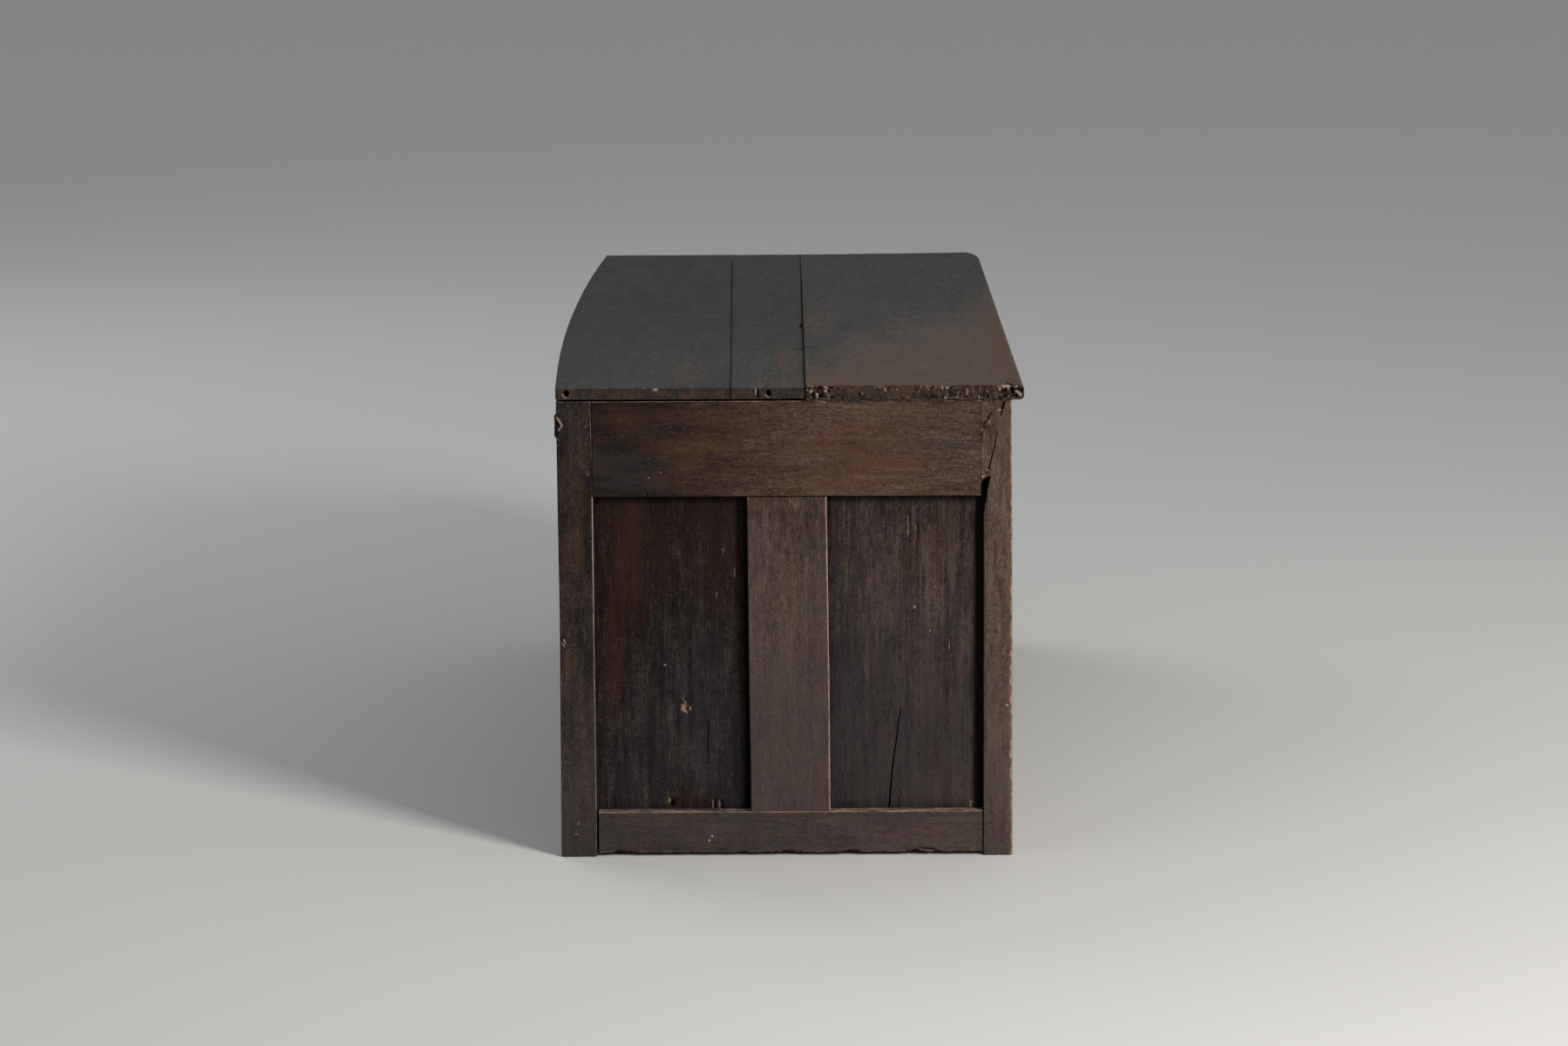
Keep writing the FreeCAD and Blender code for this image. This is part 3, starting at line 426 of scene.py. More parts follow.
def oak(name, colours, contrast=1, stretch=1, roughness=0.58, specular=0.2):
    """Oak, cleft and planed by hand, stained dark by age, wax and smoke. The figure is low in
    contrast: short streaks and pores along the grain, cloudy patches where the wax has taken up
    dirt, some of them reddish and some nearly blue-black, and arrises rubbed back to paler,
    smoother wood. The wax has dried, so the sheen is faint. The colours are those of the deepest,
    usual and lightest wood, the reddish and cool patches, the worn arrises, and the dirt, which
    in places also stands for painted shade."""
    deep, body, light, red, cool, worn, soot = colours.split()
    material, tree, shader = blank(name)
    timber = add(tree, "ShaderNodeAttribute", attribute_name="timber").outputs["Vector"]
    finish = add(tree, "ShaderNodeAttribute", attribute_name="finish").outputs["Vector"]
    grime = add(tree, "ShaderNodeAttribute", attribute_name="grime").outputs["Fac"]
    split = add(tree, "ShaderNodeSeparateXYZ", {"Vector": finish})
    shade, warmth, wear = (split.outputs[a] for a in "XYZ")

    def pattern(length, width, detail, rough=0.55):
        turned = add(tree, "ShaderNodeVectorMath", {0: timber, 1: (1 / length, 1 / width, 1 / width)},
                     operation="MULTIPLY")
        return add(tree, "ShaderNodeTexNoise", {"Vector": turned.outputs[0], "Scale": 1,
                   "Detail": detail, "Roughness": rough}).outputs["Fac"]

    # Feature sizes in mm, along and across the grain. Real pores are 0.3 mm wide, and dust specks and
    # the glints they also paint are finer still: both are drawn as large as they need to be to show.
    band = pattern(60 * stretch, 6, 3, 0.62)
    streak = pattern(13 * stretch, 1.5, 3, 0.68)
    peel = pattern(1.8, 1.4, 2, 0.6)
    mottle = pattern(9, 6, 4, 0.7)
    patch = pattern(80 * min(stretch, 1), 24, 4, 0.6)
    hue = pattern(44, 22, 5, 0.64)
    red_cloud = pattern(70 * stretch, 22, 5, 0.64)
    cool_cloud = pattern(80 * stretch, 28, 5, 0.64)
    pore = pattern(3.4, 1.1, 1, 0.6)
    # Pale specks: dust, and painted glints of light.
    dust = pattern(1.6, 1.4, 0)

    # Annual rings about 3 mm apart: a line of random greys read off by the distance from the
    # pith, which the bands push in and out.
    ring_step, ring_wobble = 3, 22
    across = add(tree, "ShaderNodeVectorMath", {0: timber, 1: (0, 1, 1)}, operation="MULTIPLY")
    radius = add(tree, "ShaderNodeVectorMath", {0: across.outputs[0]}, operation="LENGTH")
    wobble = add(tree, "ShaderNodeMath", {0: band, 1: ring_wobble, 2: radius.outputs["Value"]},
                 operation="MULTIPLY_ADD")
    ring_at = add(tree, "ShaderNodeMath", {0: wobble.outputs[0], 1: 1 / ring_step},
                  operation="MULTIPLY")
    ring = add(tree, "ShaderNodeTexNoise", {"W": ring_at.outputs[0], "Scale": 1, "Detail": 2},
               noise_dimensions="1D").outputs["Fac"]

    # The tone is the sum of the patterns, each about its middle value, and the board's own shade.
    tone = add(tree, "ShaderNodeMath", {0: shade, 1: 0.4}, operation="ADD").outputs[0]
    shares = ((band, 0.6), (streak, 0.7), (peel, 1), (mottle, 0.75), (patch, 0.75), (ring, 0.15))
    for socket, share in shares:
        centred = add(tree, "ShaderNodeMath", {0: socket, 1: 0.5}, operation="SUBTRACT")
        tone = add(tree, "ShaderNodeMath", {0: centred.outputs[0], 1: share * contrast, 2: tone},
                   operation="MULTIPLY_ADD").outputs[0]
    wood = add(tree, "ShaderNodeValToRGB", {"Fac": tone},
               stops=[(0, deep), (0.4, body), (1, light)]).outputs["Color"]

    # Red and cool clouds, more of one or the other where the board's warmth asks for it.
    for cloud, direction, most, colour in ((red_cloud, 1, 0.85, red), (cool_cloud, -1, 0.68, cool)):
        base = add(tree, "ShaderNodeMapRange", {"Value": cloud, "From Min": 0.45, "From Max": 0.72,
                   "To Min": 0, "To Max": 0.4})
        more = add(tree, "ShaderNodeMath", {0: warmth, 1: direction, 2: base.outputs[0]},
                   operation="MULTIPLY_ADD", use_clamp=True)
        some = add(tree, "ShaderNodeMath", {0: more.outputs[0], 1: most}, operation="MINIMUM")
        wood = add(tree, "ShaderNodeMix", {"Factor": some.outputs[0], "A": wood, "B": linear(colour)},
                   data_type="RGBA", blend_type="MIX").outputs["Result"]
    cast = add(tree, "ShaderNodeValToRGB", {"Fac": hue},
               stops=[(0.3, "#ffe7ef"), (0.5, "#fffcfb"), (0.7, "#f9ffe6")]).outputs["Color"]
    wood = add(tree, "ShaderNodeMix", {"Factor": 1, "A": wood, "B": cast}, data_type="RGBA",
               blend_type="MULTIPLY").outputs["Result"]

    # Rubbed arrises, whose wear the mottle breaks up, then pores, pale specks of dust and painted glints,
    # and dirt, which in places is painted shade.
    broken = add(tree, "ShaderNodeMath", {0: mottle, 1: wear}, operation="ADD").outputs[0]
    coats = []
    for socket, start, end, most, colour in (
            (broken, 0.8, 1.4, 0.85, worn), (pore, 0.6, 0.8, 0.45, deep), (dust, 0.8, 0.9, 0.45, DUST_AND_GLINTS)):
        coats.append(add(tree, "ShaderNodeMapRange", {"Value": socket, "From Min": start,
                         "From Max": end, "To Min": 0, "To Max": most}).outputs[0])
        wood = add(tree, "ShaderNodeMix", {"Factor": coats[-1], "A": wood, "B": linear(colour)},
                   data_type="RGBA").outputs["Result"]
    rubbed, holes = coats[:2]
    wood = add(tree, "ShaderNodeMix", {"Factor": grime, "A": wood, "B": linear(soot)},
               data_type="RGBA").outputs["Result"]

    dull = add(tree, "ShaderNodeMapRange", {"Value": patch, "From Min": 0.3, "From Max": 0.7,
               "To Min": roughness - 0.07, "To Max": roughness + 0.1}).outputs[0]
    polish = add(tree, "ShaderNodeMath", {0: rubbed, 1: -0.2, 2: dull},
                 operation="MULTIPLY_ADD").outputs[0]
    rough = add(tree, "ShaderNodeMath", {0: grime, 1: 0.4, 2: polish}, operation="MULTIPLY_ADD",
                use_clamp=True).outputs[0]

    height = streak
    for socket, share in ((peel, 1.1), (mottle, 1.6), (holes, -0.4)):
        height = add(tree, "ShaderNodeMath", {0: socket, 1: share, 2: height},
                     operation="MULTIPLY_ADD").outputs[0]
    cover(tree, shader, wood, rough, height, 0.9, 0.95 * MM)
    shader.inputs["Specular IOR Level"].default_value = specular
    return material


def wrought_iron(name):
    """Wrought iron, hammered out by hand and never painted: nearly black scale, brown rust in
    patches a finger's width across, and shallow hammer marks."""
    rust_patch, hammer_mark, mark_depth = 10.53 * MM, 7.69 * MM, 0.8 * MM
    material, tree, shader = blank(name)
    at = add(tree, "ShaderNodeTexCoord").outputs["Object"]
    rust = add(tree, "ShaderNodeTexNoise", {"Vector": at, "Scale": 1 / rust_patch, "Detail": 4,
               "Roughness": 0.6}).outputs["Fac"]
    hammer = add(tree, "ShaderNodeTexVoronoi", {"Vector": at, "Scale": 1 / hammer_mark},
                 feature="SMOOTH_F1").outputs["Distance"]
    colour = add(tree, "ShaderNodeValToRGB", {"Fac": rust},
                 stops=[(0.3, "#16130f"), (0.52, "#2a2522"), (0.64, "#4a2f20"), (0.8, "#5a4034")])
    rough = add(tree, "ShaderNodeMapRange", {"Value": rust, "From Min": 0.3, "From Max": 0.7,
                "To Min": 0.42, "To Max": 0.78})
    cover(tree, shader, colour.outputs["Color"], rough.outputs[0], hammer, 0.5, mark_depth)
    shader.inputs["Metallic"].default_value = 0.55
    return material


FRAME_OAK = oak("old_frame_oak", "#110d0b #392d28 #695649 #4b3421 #373436 #a88a78 #050302",
                contrast=1.3, specular=0.1)
PANEL_OAK = oak("old_panel_oak", "#0a0706 #26201e #524641 #331c15 #252429 #936f58 #040202",
                contrast=1.6, stretch=2.2, specular=0.08)
# The lid's grey, nearly colourless tones are partly a painted reflection: the grey sheen of its top seen
# at a grazing angle.
LID_OAK = oak("rubbed_lid_oak", "#141414 #2a2a29 #555452 #4f3827 #292a2b #a59382 #060403",
              contrast=1.3, stretch=0.35, roughness=0.7, specular=0.12)
PINE = oak("aged_inside_pine", "#3a2a1c #6a5138 #977855 #6e4a2c #5f4c3a #9a7c5c #1a120c",
           contrast=0.9, roughness=0.75)
PEG_OAK = oak("cleft_peg_oak", "#100b08 #30241d #654f44 #4a2c1f #272529 #8a6850 #050302")
IRON = wrought_iron("wrought_iron")


# ---- Places that the pieces share ----

POSTS = {name: room(name) for name in
         ("front_left_post", "front_right_post", "rear_left_post", "rear_right_post")}
REAR_FACE = POSTS["rear_left_post"][1][Y]
MIDDLE_Y = (POSTS["front_left_post"][0][Y] + REAR_FACE) / 2
TUCK = 6        # how far a panel runs in under the frame
FINE = 1.3      # grid step on the left end, which has the most marks
COARSE = 4.5    # and on the other sides


# ---- Marks of single boards ----
# All are on the left end, and placed from its middle line and the floor.

def mark_front_left_post(skin):
    """The split that runs down from the top past the pegs, the sliver broken out below it, whose face
    is blackened as painted shade, and the outer arris with its finish knocked off, paler partly as a
    painted highlight on the side facing the light. The post leans a little and is narrower below."""
    skin.crack(LEFT, 6, 0.25, (-265.6, 566, 1), (-263.4, 557, 0.8), (-260.5, 547, 0.3))
    skin.crack(LEFT, 6, 0.25, (-256, 527.2, 0.25), (-253.6, 512, 0.35), (-248.6, 492, 0.5),
               (-245, 476.5, 0.7))
    skin.crack(LEFT, 2.6, 0.4, (-248.2, 550, 0.5), (-243.4, 539.5, 0.8))
    skin.crack(LEFT, 2, 0.4, (-240.2, 531, 0.5), (-237.3, 515, 0.4))
    skin.dent(LEFT, (-241.6, 535), (5, 6.5), 1.8)
    skin.flecks(LEFT, (-259, 554, 3, 1.1, 1.1), (-246.6, 538, 1.4, 3, 1),
                (-239.6, 529.5, 1.4, 2.6, 1), (-240.4, 472.5, 2.2, 1.2, 1))

    across, up = skin.flat(LEFT).T
    front_side = np.interp(up, [446, 455, 463, 473], [-243.2, -244.4, -246, -247.4])
    seam_side = np.interp(up, [446, 457.5, 460, 473], [-220, -233, -236, -243.6])
    top = np.interp(across, [-247, -240], [473, 469.5])
    foot, sliver_depth = 448.6, 14
    broken_out = smooth(across, front_side - 0.3, front_side + 0.3) * (across < seam_side)
    broken_out *= smooth(up, top + 0.5, top - 0.5) * (up > foot)
    skin.lift *= 1 - broken_out
    squashed = 0.97        # not quite level, so that no face shrinks to nothing
    skin.move[:, X] += squashed * broken_out * np.maximum(sliver_depth - skin.depth(LEFT), 0)
    # The broken-out face is blackened: painted shade in the recess.
    skin.darken_grime_and_shade(smooth(broken_out, 0, 0.4))

    skin.bend([0, 89, 415, 566], [-2.7, -2.1, 0, 1.7], [0, 0, 0, 0])
    cut_back = np.interp(up, [0, 89, 415, 427, 437, 449, 450.2, 566],
                         [-4.8, -4.6, -3.3, -3.4, -4.6, -7.6, 1.5, 1.5])
    skin.move[:, Y] += cut_back * smooth(skin.depth(REAR), 9, 1.5)

    # The outer arris, which faces the light, is paler: wear, and partly a painted highlight.
    outer = skin.arris(LEFT, FRONT, 4.4)
    knocked = smooth(noise(skin.at, (9, 9, 12), 71, 3), 0, 0.45) * outer
    low_half = smooth(up, 420, 300)
    skin.lift -= (0.7 + 1.3 * low_half) * knocked
    skin.bare(outer * (0.85 + (0.5 + 1.1 * low_half) * knocked))
    for height, tall, amount in ((253, 4, 1.1), (222, 9, 1.25), (196, 7, 1.1),
                                 (128, 5, 1.1), (107, 4, 0.95), (310, 3, 1)):
        skin.flecks(LEFT, (-273.6, height, 1.9, tall, amount))
    skin.warmth += 0.7 * skin.arris(LEFT, FRONT, 7) * (0.6 + noise(skin.at, 30, 77, 2))
    skin.flecks(LEFT, (-268.6, 189, 1.8, 0.9, 1.2))
    skin.rub(LEFT, UP, 0.9, 1.8)
    worn_foot = smooth(up, 5, 0) * smooth(noise(skin.at, (5, 6, 9), 75, 2), 0, 0.4)
    skin.move[:, Z] += 2.5 * worn_foot
    skin.clouds(LEFT, (-256, 400, 30, 60, 0.08, 0), (-256, 535, 30, 36, -0.16, 0.1),
                (-256, 130, 30, 90, 0.14, -0.1), (-256, 20, 30, 50, -0.04, -0.2))


def mark_rear_left_post(skin):
    """A knot torn out of the outer arris near the top, a bruise beside the upper peg, and a small
    notch halfway down. The inner arris beside the panel, which faces the light, is rubbed bright:
    wear, and partly a painted highlight that is brighter higher up."""
    up = skin.at[:, Z]
    near = skin.near_path(LEFT, [(276, 548, 2.2), (277, 538, 3.6), (276, 524, 2.4)])
    close_by = smooth(skin.at[:, X], -575, -592)
    skin.move[:, Y] += 2.4 * smooth(near, 1.4, 0.3) * close_by * smooth(skin.depth(REAR), 6, 1)
    skin.darken_grime_and_shade(smooth(near, 1.5, 0.6) * 0.85 * skin.facing(LEFT))
    torn = skin.near_path(LEFT, [(273.5, 547, 0.7), (267.5, 536.5, 1.1), (272, 531, 0.8)])
    ridge = smooth(torn + 0.7 * noise(skin.at, 3, 91, 2), 1.2, 0.3) * skin.facing(LEFT)
    skin.lift += 0.4 * ridge
    skin.bare(1.3 * ridge)
    skin.crack(LEFT, 3, 0, (275.5, 541, 1), (271.5, 536, 0.8))
    skin.crack(LEFT, 1.6, 0.5, (275, 277, 1), (268.5, 265, 0.7))
    skin.flecks(LEFT, (269.5, 270, 1.8, 4.5, 1.3))
    for across, top, bottom in ((242.6, 541, 534), (239.8, 542.5, 530), (236.6, 540, 528.5)):
        skin.crack(LEFT, 1.6, 0.5, (across, top, 0.7), (across - 1.2, bottom, 0.4))
    skin.bend([0, 60, 300, 450, 566], [-0.2, -0.3, -0.4, -0.6, 0.8], [0.7, 0.2, -1.4, -0.6, -0.3])
    # The inner arris faces the light: its paleness is wear and partly a painted highlight.
    beside_panel = smooth(up, 52, 62) * smooth(up, 452, 446)
    bright = 0.7 + 0.5 * smooth(up, 280, 360)
    skin.bare(1.2 * skin.arris(LEFT, FRONT, 2.4) * beside_panel * bright)
    skin.rub(LEFT, UP, 1, 1.8)
    skin.rub(LEFT, FRONT, 0.8, 1.8)
    skin.shade += 0.13 * smooth(up, 260, 60) - 0.03 * smooth(up, 380, 520)
    skin.clouds(LEFT, (264, 245, 10, 18, 0.08, 0.5), (256, 30, 40, 60, -0.03, -0.5),
                (256, 390, 14, 50, 0.02, 0.35))


def mark_left_top_rail(skin):
    """Chips out of the lower edge, a few bruises, and a tone that is darker and cooler towards the rear:
    partly painted light that falls off towards the rear.
    """
    for across, size, depth in ((168, 4.5, 1.8), (134.9, 3, 1.8), (98, 6, 0.8), (-102, 5, 0.7)):
        skin.dent(LEFT, (across, 449), (size, 2.6), depth)
    for across, up, size in ((163.7, 472.6, 1.5), (149, 479.4, 1.2), (168.5, 451.4, 1.8)):
        skin.flecks(LEFT, (across, up, size, 1, 0.9))
        skin.dent(LEFT, (across - size, up + 2), (size, 2.4), 1.2, 0.7)
    skin.crack(LEFT, 1, 0.3, (-223.5, 550.5, 0.7), (-232.5, 550.4, 0.6))
    # Darker and cooler towards the rear: partly painted light, which falls off from the front.
    skin.shade += 0.13 - 0.68 * smooth(skin.share(Y), 0.42, 0.95)
    skin.warmth -= 0.22 * smooth(skin.share(Y), 0.5, 0.95)
    skin.rub(LEFT, UP, 1.1, 1.8)
    skin.clouds(LEFT, (185, 485, 36, 26, -0.1, -0.25), (110, 500, 70, 24, 0.06, 0.25),
                (-95, 510, 50, 30, 0.06, 0.5), (-110, 470, 70, 18, 0.02, 0.6),
                (-200, 505, 30, 50, -0.04, -0.35), (190, 545, 40, 16, 0.06, 0.3))


def mark_left_bottom_rail(skin):
    """The upper arris rubbed pale where things are set down, and partly a painted highlight where it
    faces the light, the lower one broken and rough, and the rail lighter towards the front with painted
    light.
    """
    lower = smooth(skin.at[:, Z], skin.low[Z] + 7, skin.low[Z])
    rough = noise(skin.at, (8, 15, 8), 83, 3)
    skin.lift -= 2.8 * lower * smooth(rough, -0.1, 0.5)
    skin.darken_grime_and_shade(0.7 * lower * smooth(rough, 0, 0.4))
    skin.dent(LEFT, (-171, 5), (16, 5.5), 4.5, 0.9)
    skin.flecks(LEFT, (90.3, 26, 1.6, 1.6, 1.6), (94.3, 20.5, 1.6, 1.6, 1.6))
    skin.rub(LEFT, DOWN, 0.9, 2)
    # The ledge and upper arris face the light: their paleness is wear and partly a painted highlight.
    ledge = skin.facing(UP) * smooth(skin.depth(LEFT), 16, 13)
    uneven = 0.6 + 0.6 * noise(skin.at, (6, 20, 6), 87, 3)
    skin.bare(0.86 * ledge * uneven)
    skin.rub(LEFT, UP, 1.2, 2.4)
    # Lighter towards the front: painted light, which falls off towards the rear.
    skin.shade += 0.045 - 0.00055 * (skin.at[:, Y] - MIDDLE_Y)
    skin.warmth -= 0.1


def mark_left_muntin(skin):
    """A quieter board: paler at the top, cooler and darker towards the foot, and rubbed bright on
    the arris that faces the light, which is partly a painted highlight."""
    up = skin.share(Z)
    skin.shade += 0.2 * smooth(up, 0.95, 0.6) + 0.06 * (1 - up) - 0.06
    skin.warmth -= 0.5 * (1 - up)
    skin.bend([57, 220, 449], [-1.9, -1, 2], [-0.9, 0.8, 2.2])
    # The front arris, facing the light, is paler: wear, and partly a painted highlight.
    skin.rub(LEFT, FRONT, 1.5, 2.8)
    skin.rub(LEFT, REAR, 0.5, 1.6)


def mark_rear_panel(skin):
    """The panel beside the rear post: reddish above, nearly black below, one flake of bare wood
    and gouges at the foot."""
    skin.clouds(LEFT, (184, 400, 9, 70, 0.02, 0.8), (198, 350, 14, 70, 0, 0.7),
                (210, 230, 12, 90, 0.04, 0.6), (148, 380, 9, 40, 0.14, 0.35),
                (92, 330, 12, 60, 0.12, 0), (112, 235, 34, 60, 0.02, -0.5),
                (140, 140, 120, 120, 0.3, -0.3), (114, 68, 30, 12, 0.04, 0.8))
    flake = np.maximum(skin.spot(LEFT, (121.5, 182), (6.4, 5.4)),
                       skin.spot(LEFT, (124.5, 192), (3.4, 8)))
    flake *= smooth(noise(skin.at, (2.6, 2.4, 4), 93, 2), -0.35, 0.15)
    skin.lift -= 0.5 * flake
    skin.bare(1.2 * flake)
    skin.warmth += 0.6 * flake
    skin.dent(LEFT, (139, 63), (4, 4.5), 4, 1)
    skin.flecks(LEFT, (142.6, 67.5, 1.4, 3.6, 1.5), (146.8, 238.1, 1.2, 1.2, 1.6))
    for across, top in ((89.8, 68), (81.6, 66.5)):
        skin.flecks(LEFT, (across, 61, 1, top - 61, 1.5))
        skin.crack(LEFT, 2, 0, (across - 2.6, top, 0.9), (across - 2.6, 55, 1))
    skin.crack(LEFT, 0.6, 0.3, (94.7, 168, 0.45), (95.1, 113, 0.45))
    skin.flecks(LEFT, (75.2, 377, 0.8, 7, 0.75), (61.1, 352.5, 0.8, 7, 0.75),
                (82.9, 324.5, 0.8, 6, 0.75))


def mark_front_panel(skin):
    """The panel beside the front post: a split that opens towards its foot, and scratches."""
    skin.crack(LEFT, 6, 0.3, (-140.6, 182, 0.25), (-137.3, 163.7, 0.4), (-134, 134.4, 0.5),
               (-129.8, 103.2, 0.65), (-126, 54, 0.9))
    for across, top, bottom in ((-150.9, 424.5, 394), (-160.3, 420, 398), (-201, 272.6, 252)):
        skin.crack(LEFT, 0.7, 0, (across, top, 0.5), (across - 0.5, bottom, 0.4))
        skin.flecks(LEFT, (across + 1.4, (top + bottom) / 2, 0.7, (top - bottom) / 2, 0.8))
    skin.flecks(LEFT, (-226.8, 61, 1.4, 6, 1.3), (-157.7, 308.9, 1.2, 2.4, 1.2),
                (-183.2, 333.4, 1.2, 2.4, 1.2), (-176, 279.2, 1.2, 2.4, 1.2))
    skin.clouds(LEFT, (-183, 370, 22, 60, 0.1, 0.4), (-128, 360, 14, 40, 0.06, 0.3),
                (-66, 350, 16, 110, -0.1, -0.4), (-76, 160, 44, 90, -0.05, -0.9),
                (-150, 130, 120, 130, 0.2, -0.35), (-205, 80, 26, 50, 0.12, 0.1))


# The left end's boards: what marks each, and its (shade, warmth) beside the others. The front post's and
# front panel's lighter shades and the rear post's and rear panel's darker ones are partly painted light,
# which falls off towards the rear.
LEFT_END = {
    "front_left_post": (mark_front_left_post, (0.25, -0.05)),
    "rear_left_post": (mark_rear_left_post, (-0.28, 0)),
    "left_end_top_rail": (mark_left_top_rail, (-0.02, 0.2)),
    "left_end_bottom_rail": (mark_left_bottom_rail, (0.02, -0.1)),
    "left_end_muntin": (mark_left_muntin, (0.1, -0.03)),
    "left_end_panel_rear": (mark_rear_panel, (-0.32, 0.14)),
    "left_end_panel_front": (mark_front_panel, (0.22, -0.03)),
}
UNMARKED = (None, (0.05, 0))
INWARD = {"front": REAR, "rear": FRONT, "left_end": RIGHT, "right_end": LEFT}


def floor_bounce_and_bare_inside(skin, node):
    """The foot of the chest is lighter and cooler: painted bounce light from the pale floor. The inside
    was never stained, so it is paler and unworn.
    """
    if node in POSTS:
        words = node.split("_")
        sides = (words[0], f"{words[1]}_end")
    else:
        sides = [side for side in INWARD if node.startswith(side)]
    # Painted bounce light from the floor: lighter and cooler towards the foot.
    low_down = smooth(skin.at[:, Z], 430, 40)
    skin.shade += 0.09 * low_down
    skin.warmth -= 0.34 * low_down
    inside = np.max([skin.facing(INWARD[side]) for side in sides], axis=0)
    skin.shade += 0.26 * inside
    skin.wear *= 1 - inside


# ---- The body ----

def body_board(node, along, low=None, high=None, shape_work=None, **shape):
    """A post, rail, muntin or panel, with painted bounce light at its foot, a paler inside, chips and
    marks. shape_work, where it is given, comes before them."""
    mark, tone = LEFT_END.get(node, UNMARKED)
    panel = "panel" in node

    def work(skin):
        if shape_work:
            shape_work(skin)
        floor_bounce_and_bare_inside(skin, node)
        if not panel:
            skin.bites(0.05, 0.9)
        if mark:
            skin.origin = np.array([0, MIDDLE_Y, 0])
            mark(skin)

    slot, material = ("panel_oak", PANEL_OAK) if panel else ("frame_oak", FRAME_OAK)
    board(node, slot, material, along, low, high, tone=tone, work=work, **shape)


def build_posts():
    """Four corner posts, with the grain upright."""
    fine = {"front_left_post": ((), ((-266, -238, 0.45),), ((424, 566, 1),)),
            "rear_left_post": ((), ((264, 276, 0.55),), ((520, 552, 0.8),))}
    for node in POSTS:
        step = (COARSE, 0.8, 2.4) if "left" in node else (COARSE, 3, 6)
        body_board(node, Z, step=step, rounding=1.2, fine=fine.get(node, NO_FINE))


def build_side(side, run, spans):
    """The rails, muntins and panels of one side. run is the axis along it and spans its (low, high)."""
    detailed = side == "left_end"
    through = X if run == Y else Y

    def steps(along):
        step = np.full(3, FINE if detailed else COARSE)
        step[along] *= 1 if detailed else 2.5
        step[through] = 3
        return step

    rails = {}
    for level in ("top", "bottom"):
        node = f"{side}_{level}_rail"
        low, high = room(node)
        low[run], high[run] = spans
        if node == "left_end_bottom_rail":    # longer, so that no gap opens at the bent posts
            low[run] -= 4
            high[run] -= 2.2
        rails[level] = (low, high)
        body_board(node, run, low, high, step=steps(run), butts=((run, -1), (run, 1)))
    for node in [n for n in frame["nodes"] if n.startswith(side) and "muntin" in n]:
        low, high = room(node)
        low[Z], high[Z] = rails["bottom"][1][Z], rails["top"][0][Z]
        body_board(node, Z, low, high, step=steps(Z), rounding=1.1, butts=(UP, DOWN))
    for node in [n for n in frame["nodes"] if n.startswith(side) and "panel" in n]:
        step = (3, 1.3, 1.8) if detailed else steps(Z)
        build_panel(node, run, through, rails["bottom"][1][Z], step)


def build_panel(node, run, through, rail_top, step):
    """A panel, whose back is bevelled down to a thin rim: its thickness grows in a straight line
    from the rim to the bevel's inner edge. Its edge, where it sits in the frame, is darker with dirt
    and painted shade, its top darker with a painted shadow of the top rail, and on the left end a
    band beside the front is painted dark as the shadow of the frame member there."""
    low, high = room(node)
    trim = rail_top - low[Z] - TUCK
    low[[run, Z]] += trim
    high[[run, Z]] -= trim
    inward = 1 if low[through] + high[through] < 0 else -1
    face = low[through] if inward > 0 else high[through]
    bevel, rim = 30, 7.5
    thick = high[through] - low[through]

    def bevelled(skin):
        inset = np.minimum(skin.at - low, high - skin.at)[:, [run, Z]].min(axis=1) - TUCK
        depth = rim + (thick - rim) * np.clip(inset / bevel, 0, 1)
        back = np.abs(skin.at[:, through] - face) / thick
        skin.move[:, through] -= inward * back * (thick - depth)
        # Darker round the edge where it sits in the frame: dirt, and painted shade of the recess.
        corner = np.clip(1 - inset / 16, 0, 1)
        skin.darken_grime_and_shade(0.6 * corner**1.5 * (0.7 + 0.6 * noise(skin.at, 14, skin.seed + 31, 2)))
        # Darker towards the top: painted shadow of the top rail.
        skin.shade -= 0.14 * smooth(skin.depth(UP), 90, 10)
        # On the left end, the dark band beside the front edge is a painted shadow of the frame member
        # there.
        if node.startswith("left_end"):
            skin.darken_grime_and_shade(0.85 * smooth(skin.depth(FRONT), TUCK + 10, TUCK + 4))

    round_split = (MIDDLE_Y - 146, MIDDLE_Y - 122, 0.6)
    fine = ((), (round_split,), ()) if node == "left_end_panel_front" else NO_FINE
    body_board(node, Z, low, high, bevelled, step=step, fine=fine)


def build_sides():
    """All four framed sides, each between its two posts."""
    across = (POSTS["front_left_post"][1][Y], POSTS["rear_left_post"][0][Y])
    length = (POSTS["front_left_post"][1][X], POSTS["front_right_post"][0][X])
    for side in ("left_end", "right_end"):
        build_side(side, Y, across)
    for side in ("front", "rear"):
        build_side(side, X, length)


def build_floor_boards():
    """The boards and bearer of the chest's floor, left rough from the saw."""
    for node in [n for n in frame["nodes"] if n.startswith("floor_board")]:
        board(node, "inside_pine", PINE, X, step=(12, 3, 3), rounding=0.9)
    board("floor_bearer", "inside_pine", PINE, Y, step=(3, 10, 3), rounding=1.2)


# ---- Pegs ----

PEG_RADIUS = 3.5
PEG_SIDES = {"left_end": LEFT, "right_end": RIGHT, "front": FRONT, "rear": REAR}


def peg_places(side):
    """(across, up) of each peg of a side, and where along the pegs their outer faces are, from the
    CAD pegs: their outermost points are gathered round each peg's middle."""
    axis, sign = PEG_SIDES[side]
    mesh = frame["nodes"][f"{side}_pegs"].data
    points = np.zeros(len(mesh.vertices) * 3)
    mesh.vertices.foreach_get("co", points)
    points = points.reshape(-1, 3) / MM
    face = sign * (sign * points[:, axis]).max()
    flat = np.delete(points[np.abs(points[:, axis] - face) < 0.05], axis, axis=1)
    middles = []
    while len(flat):
        near = np.linalg.norm(flat - flat[0], axis=1) < 2.2 * PEG_RADIUS
        middles.append((flat[near].min(axis=0) + flat[near].max(axis=0)) / 2)
        flat = flat[~near]
    return middles, face


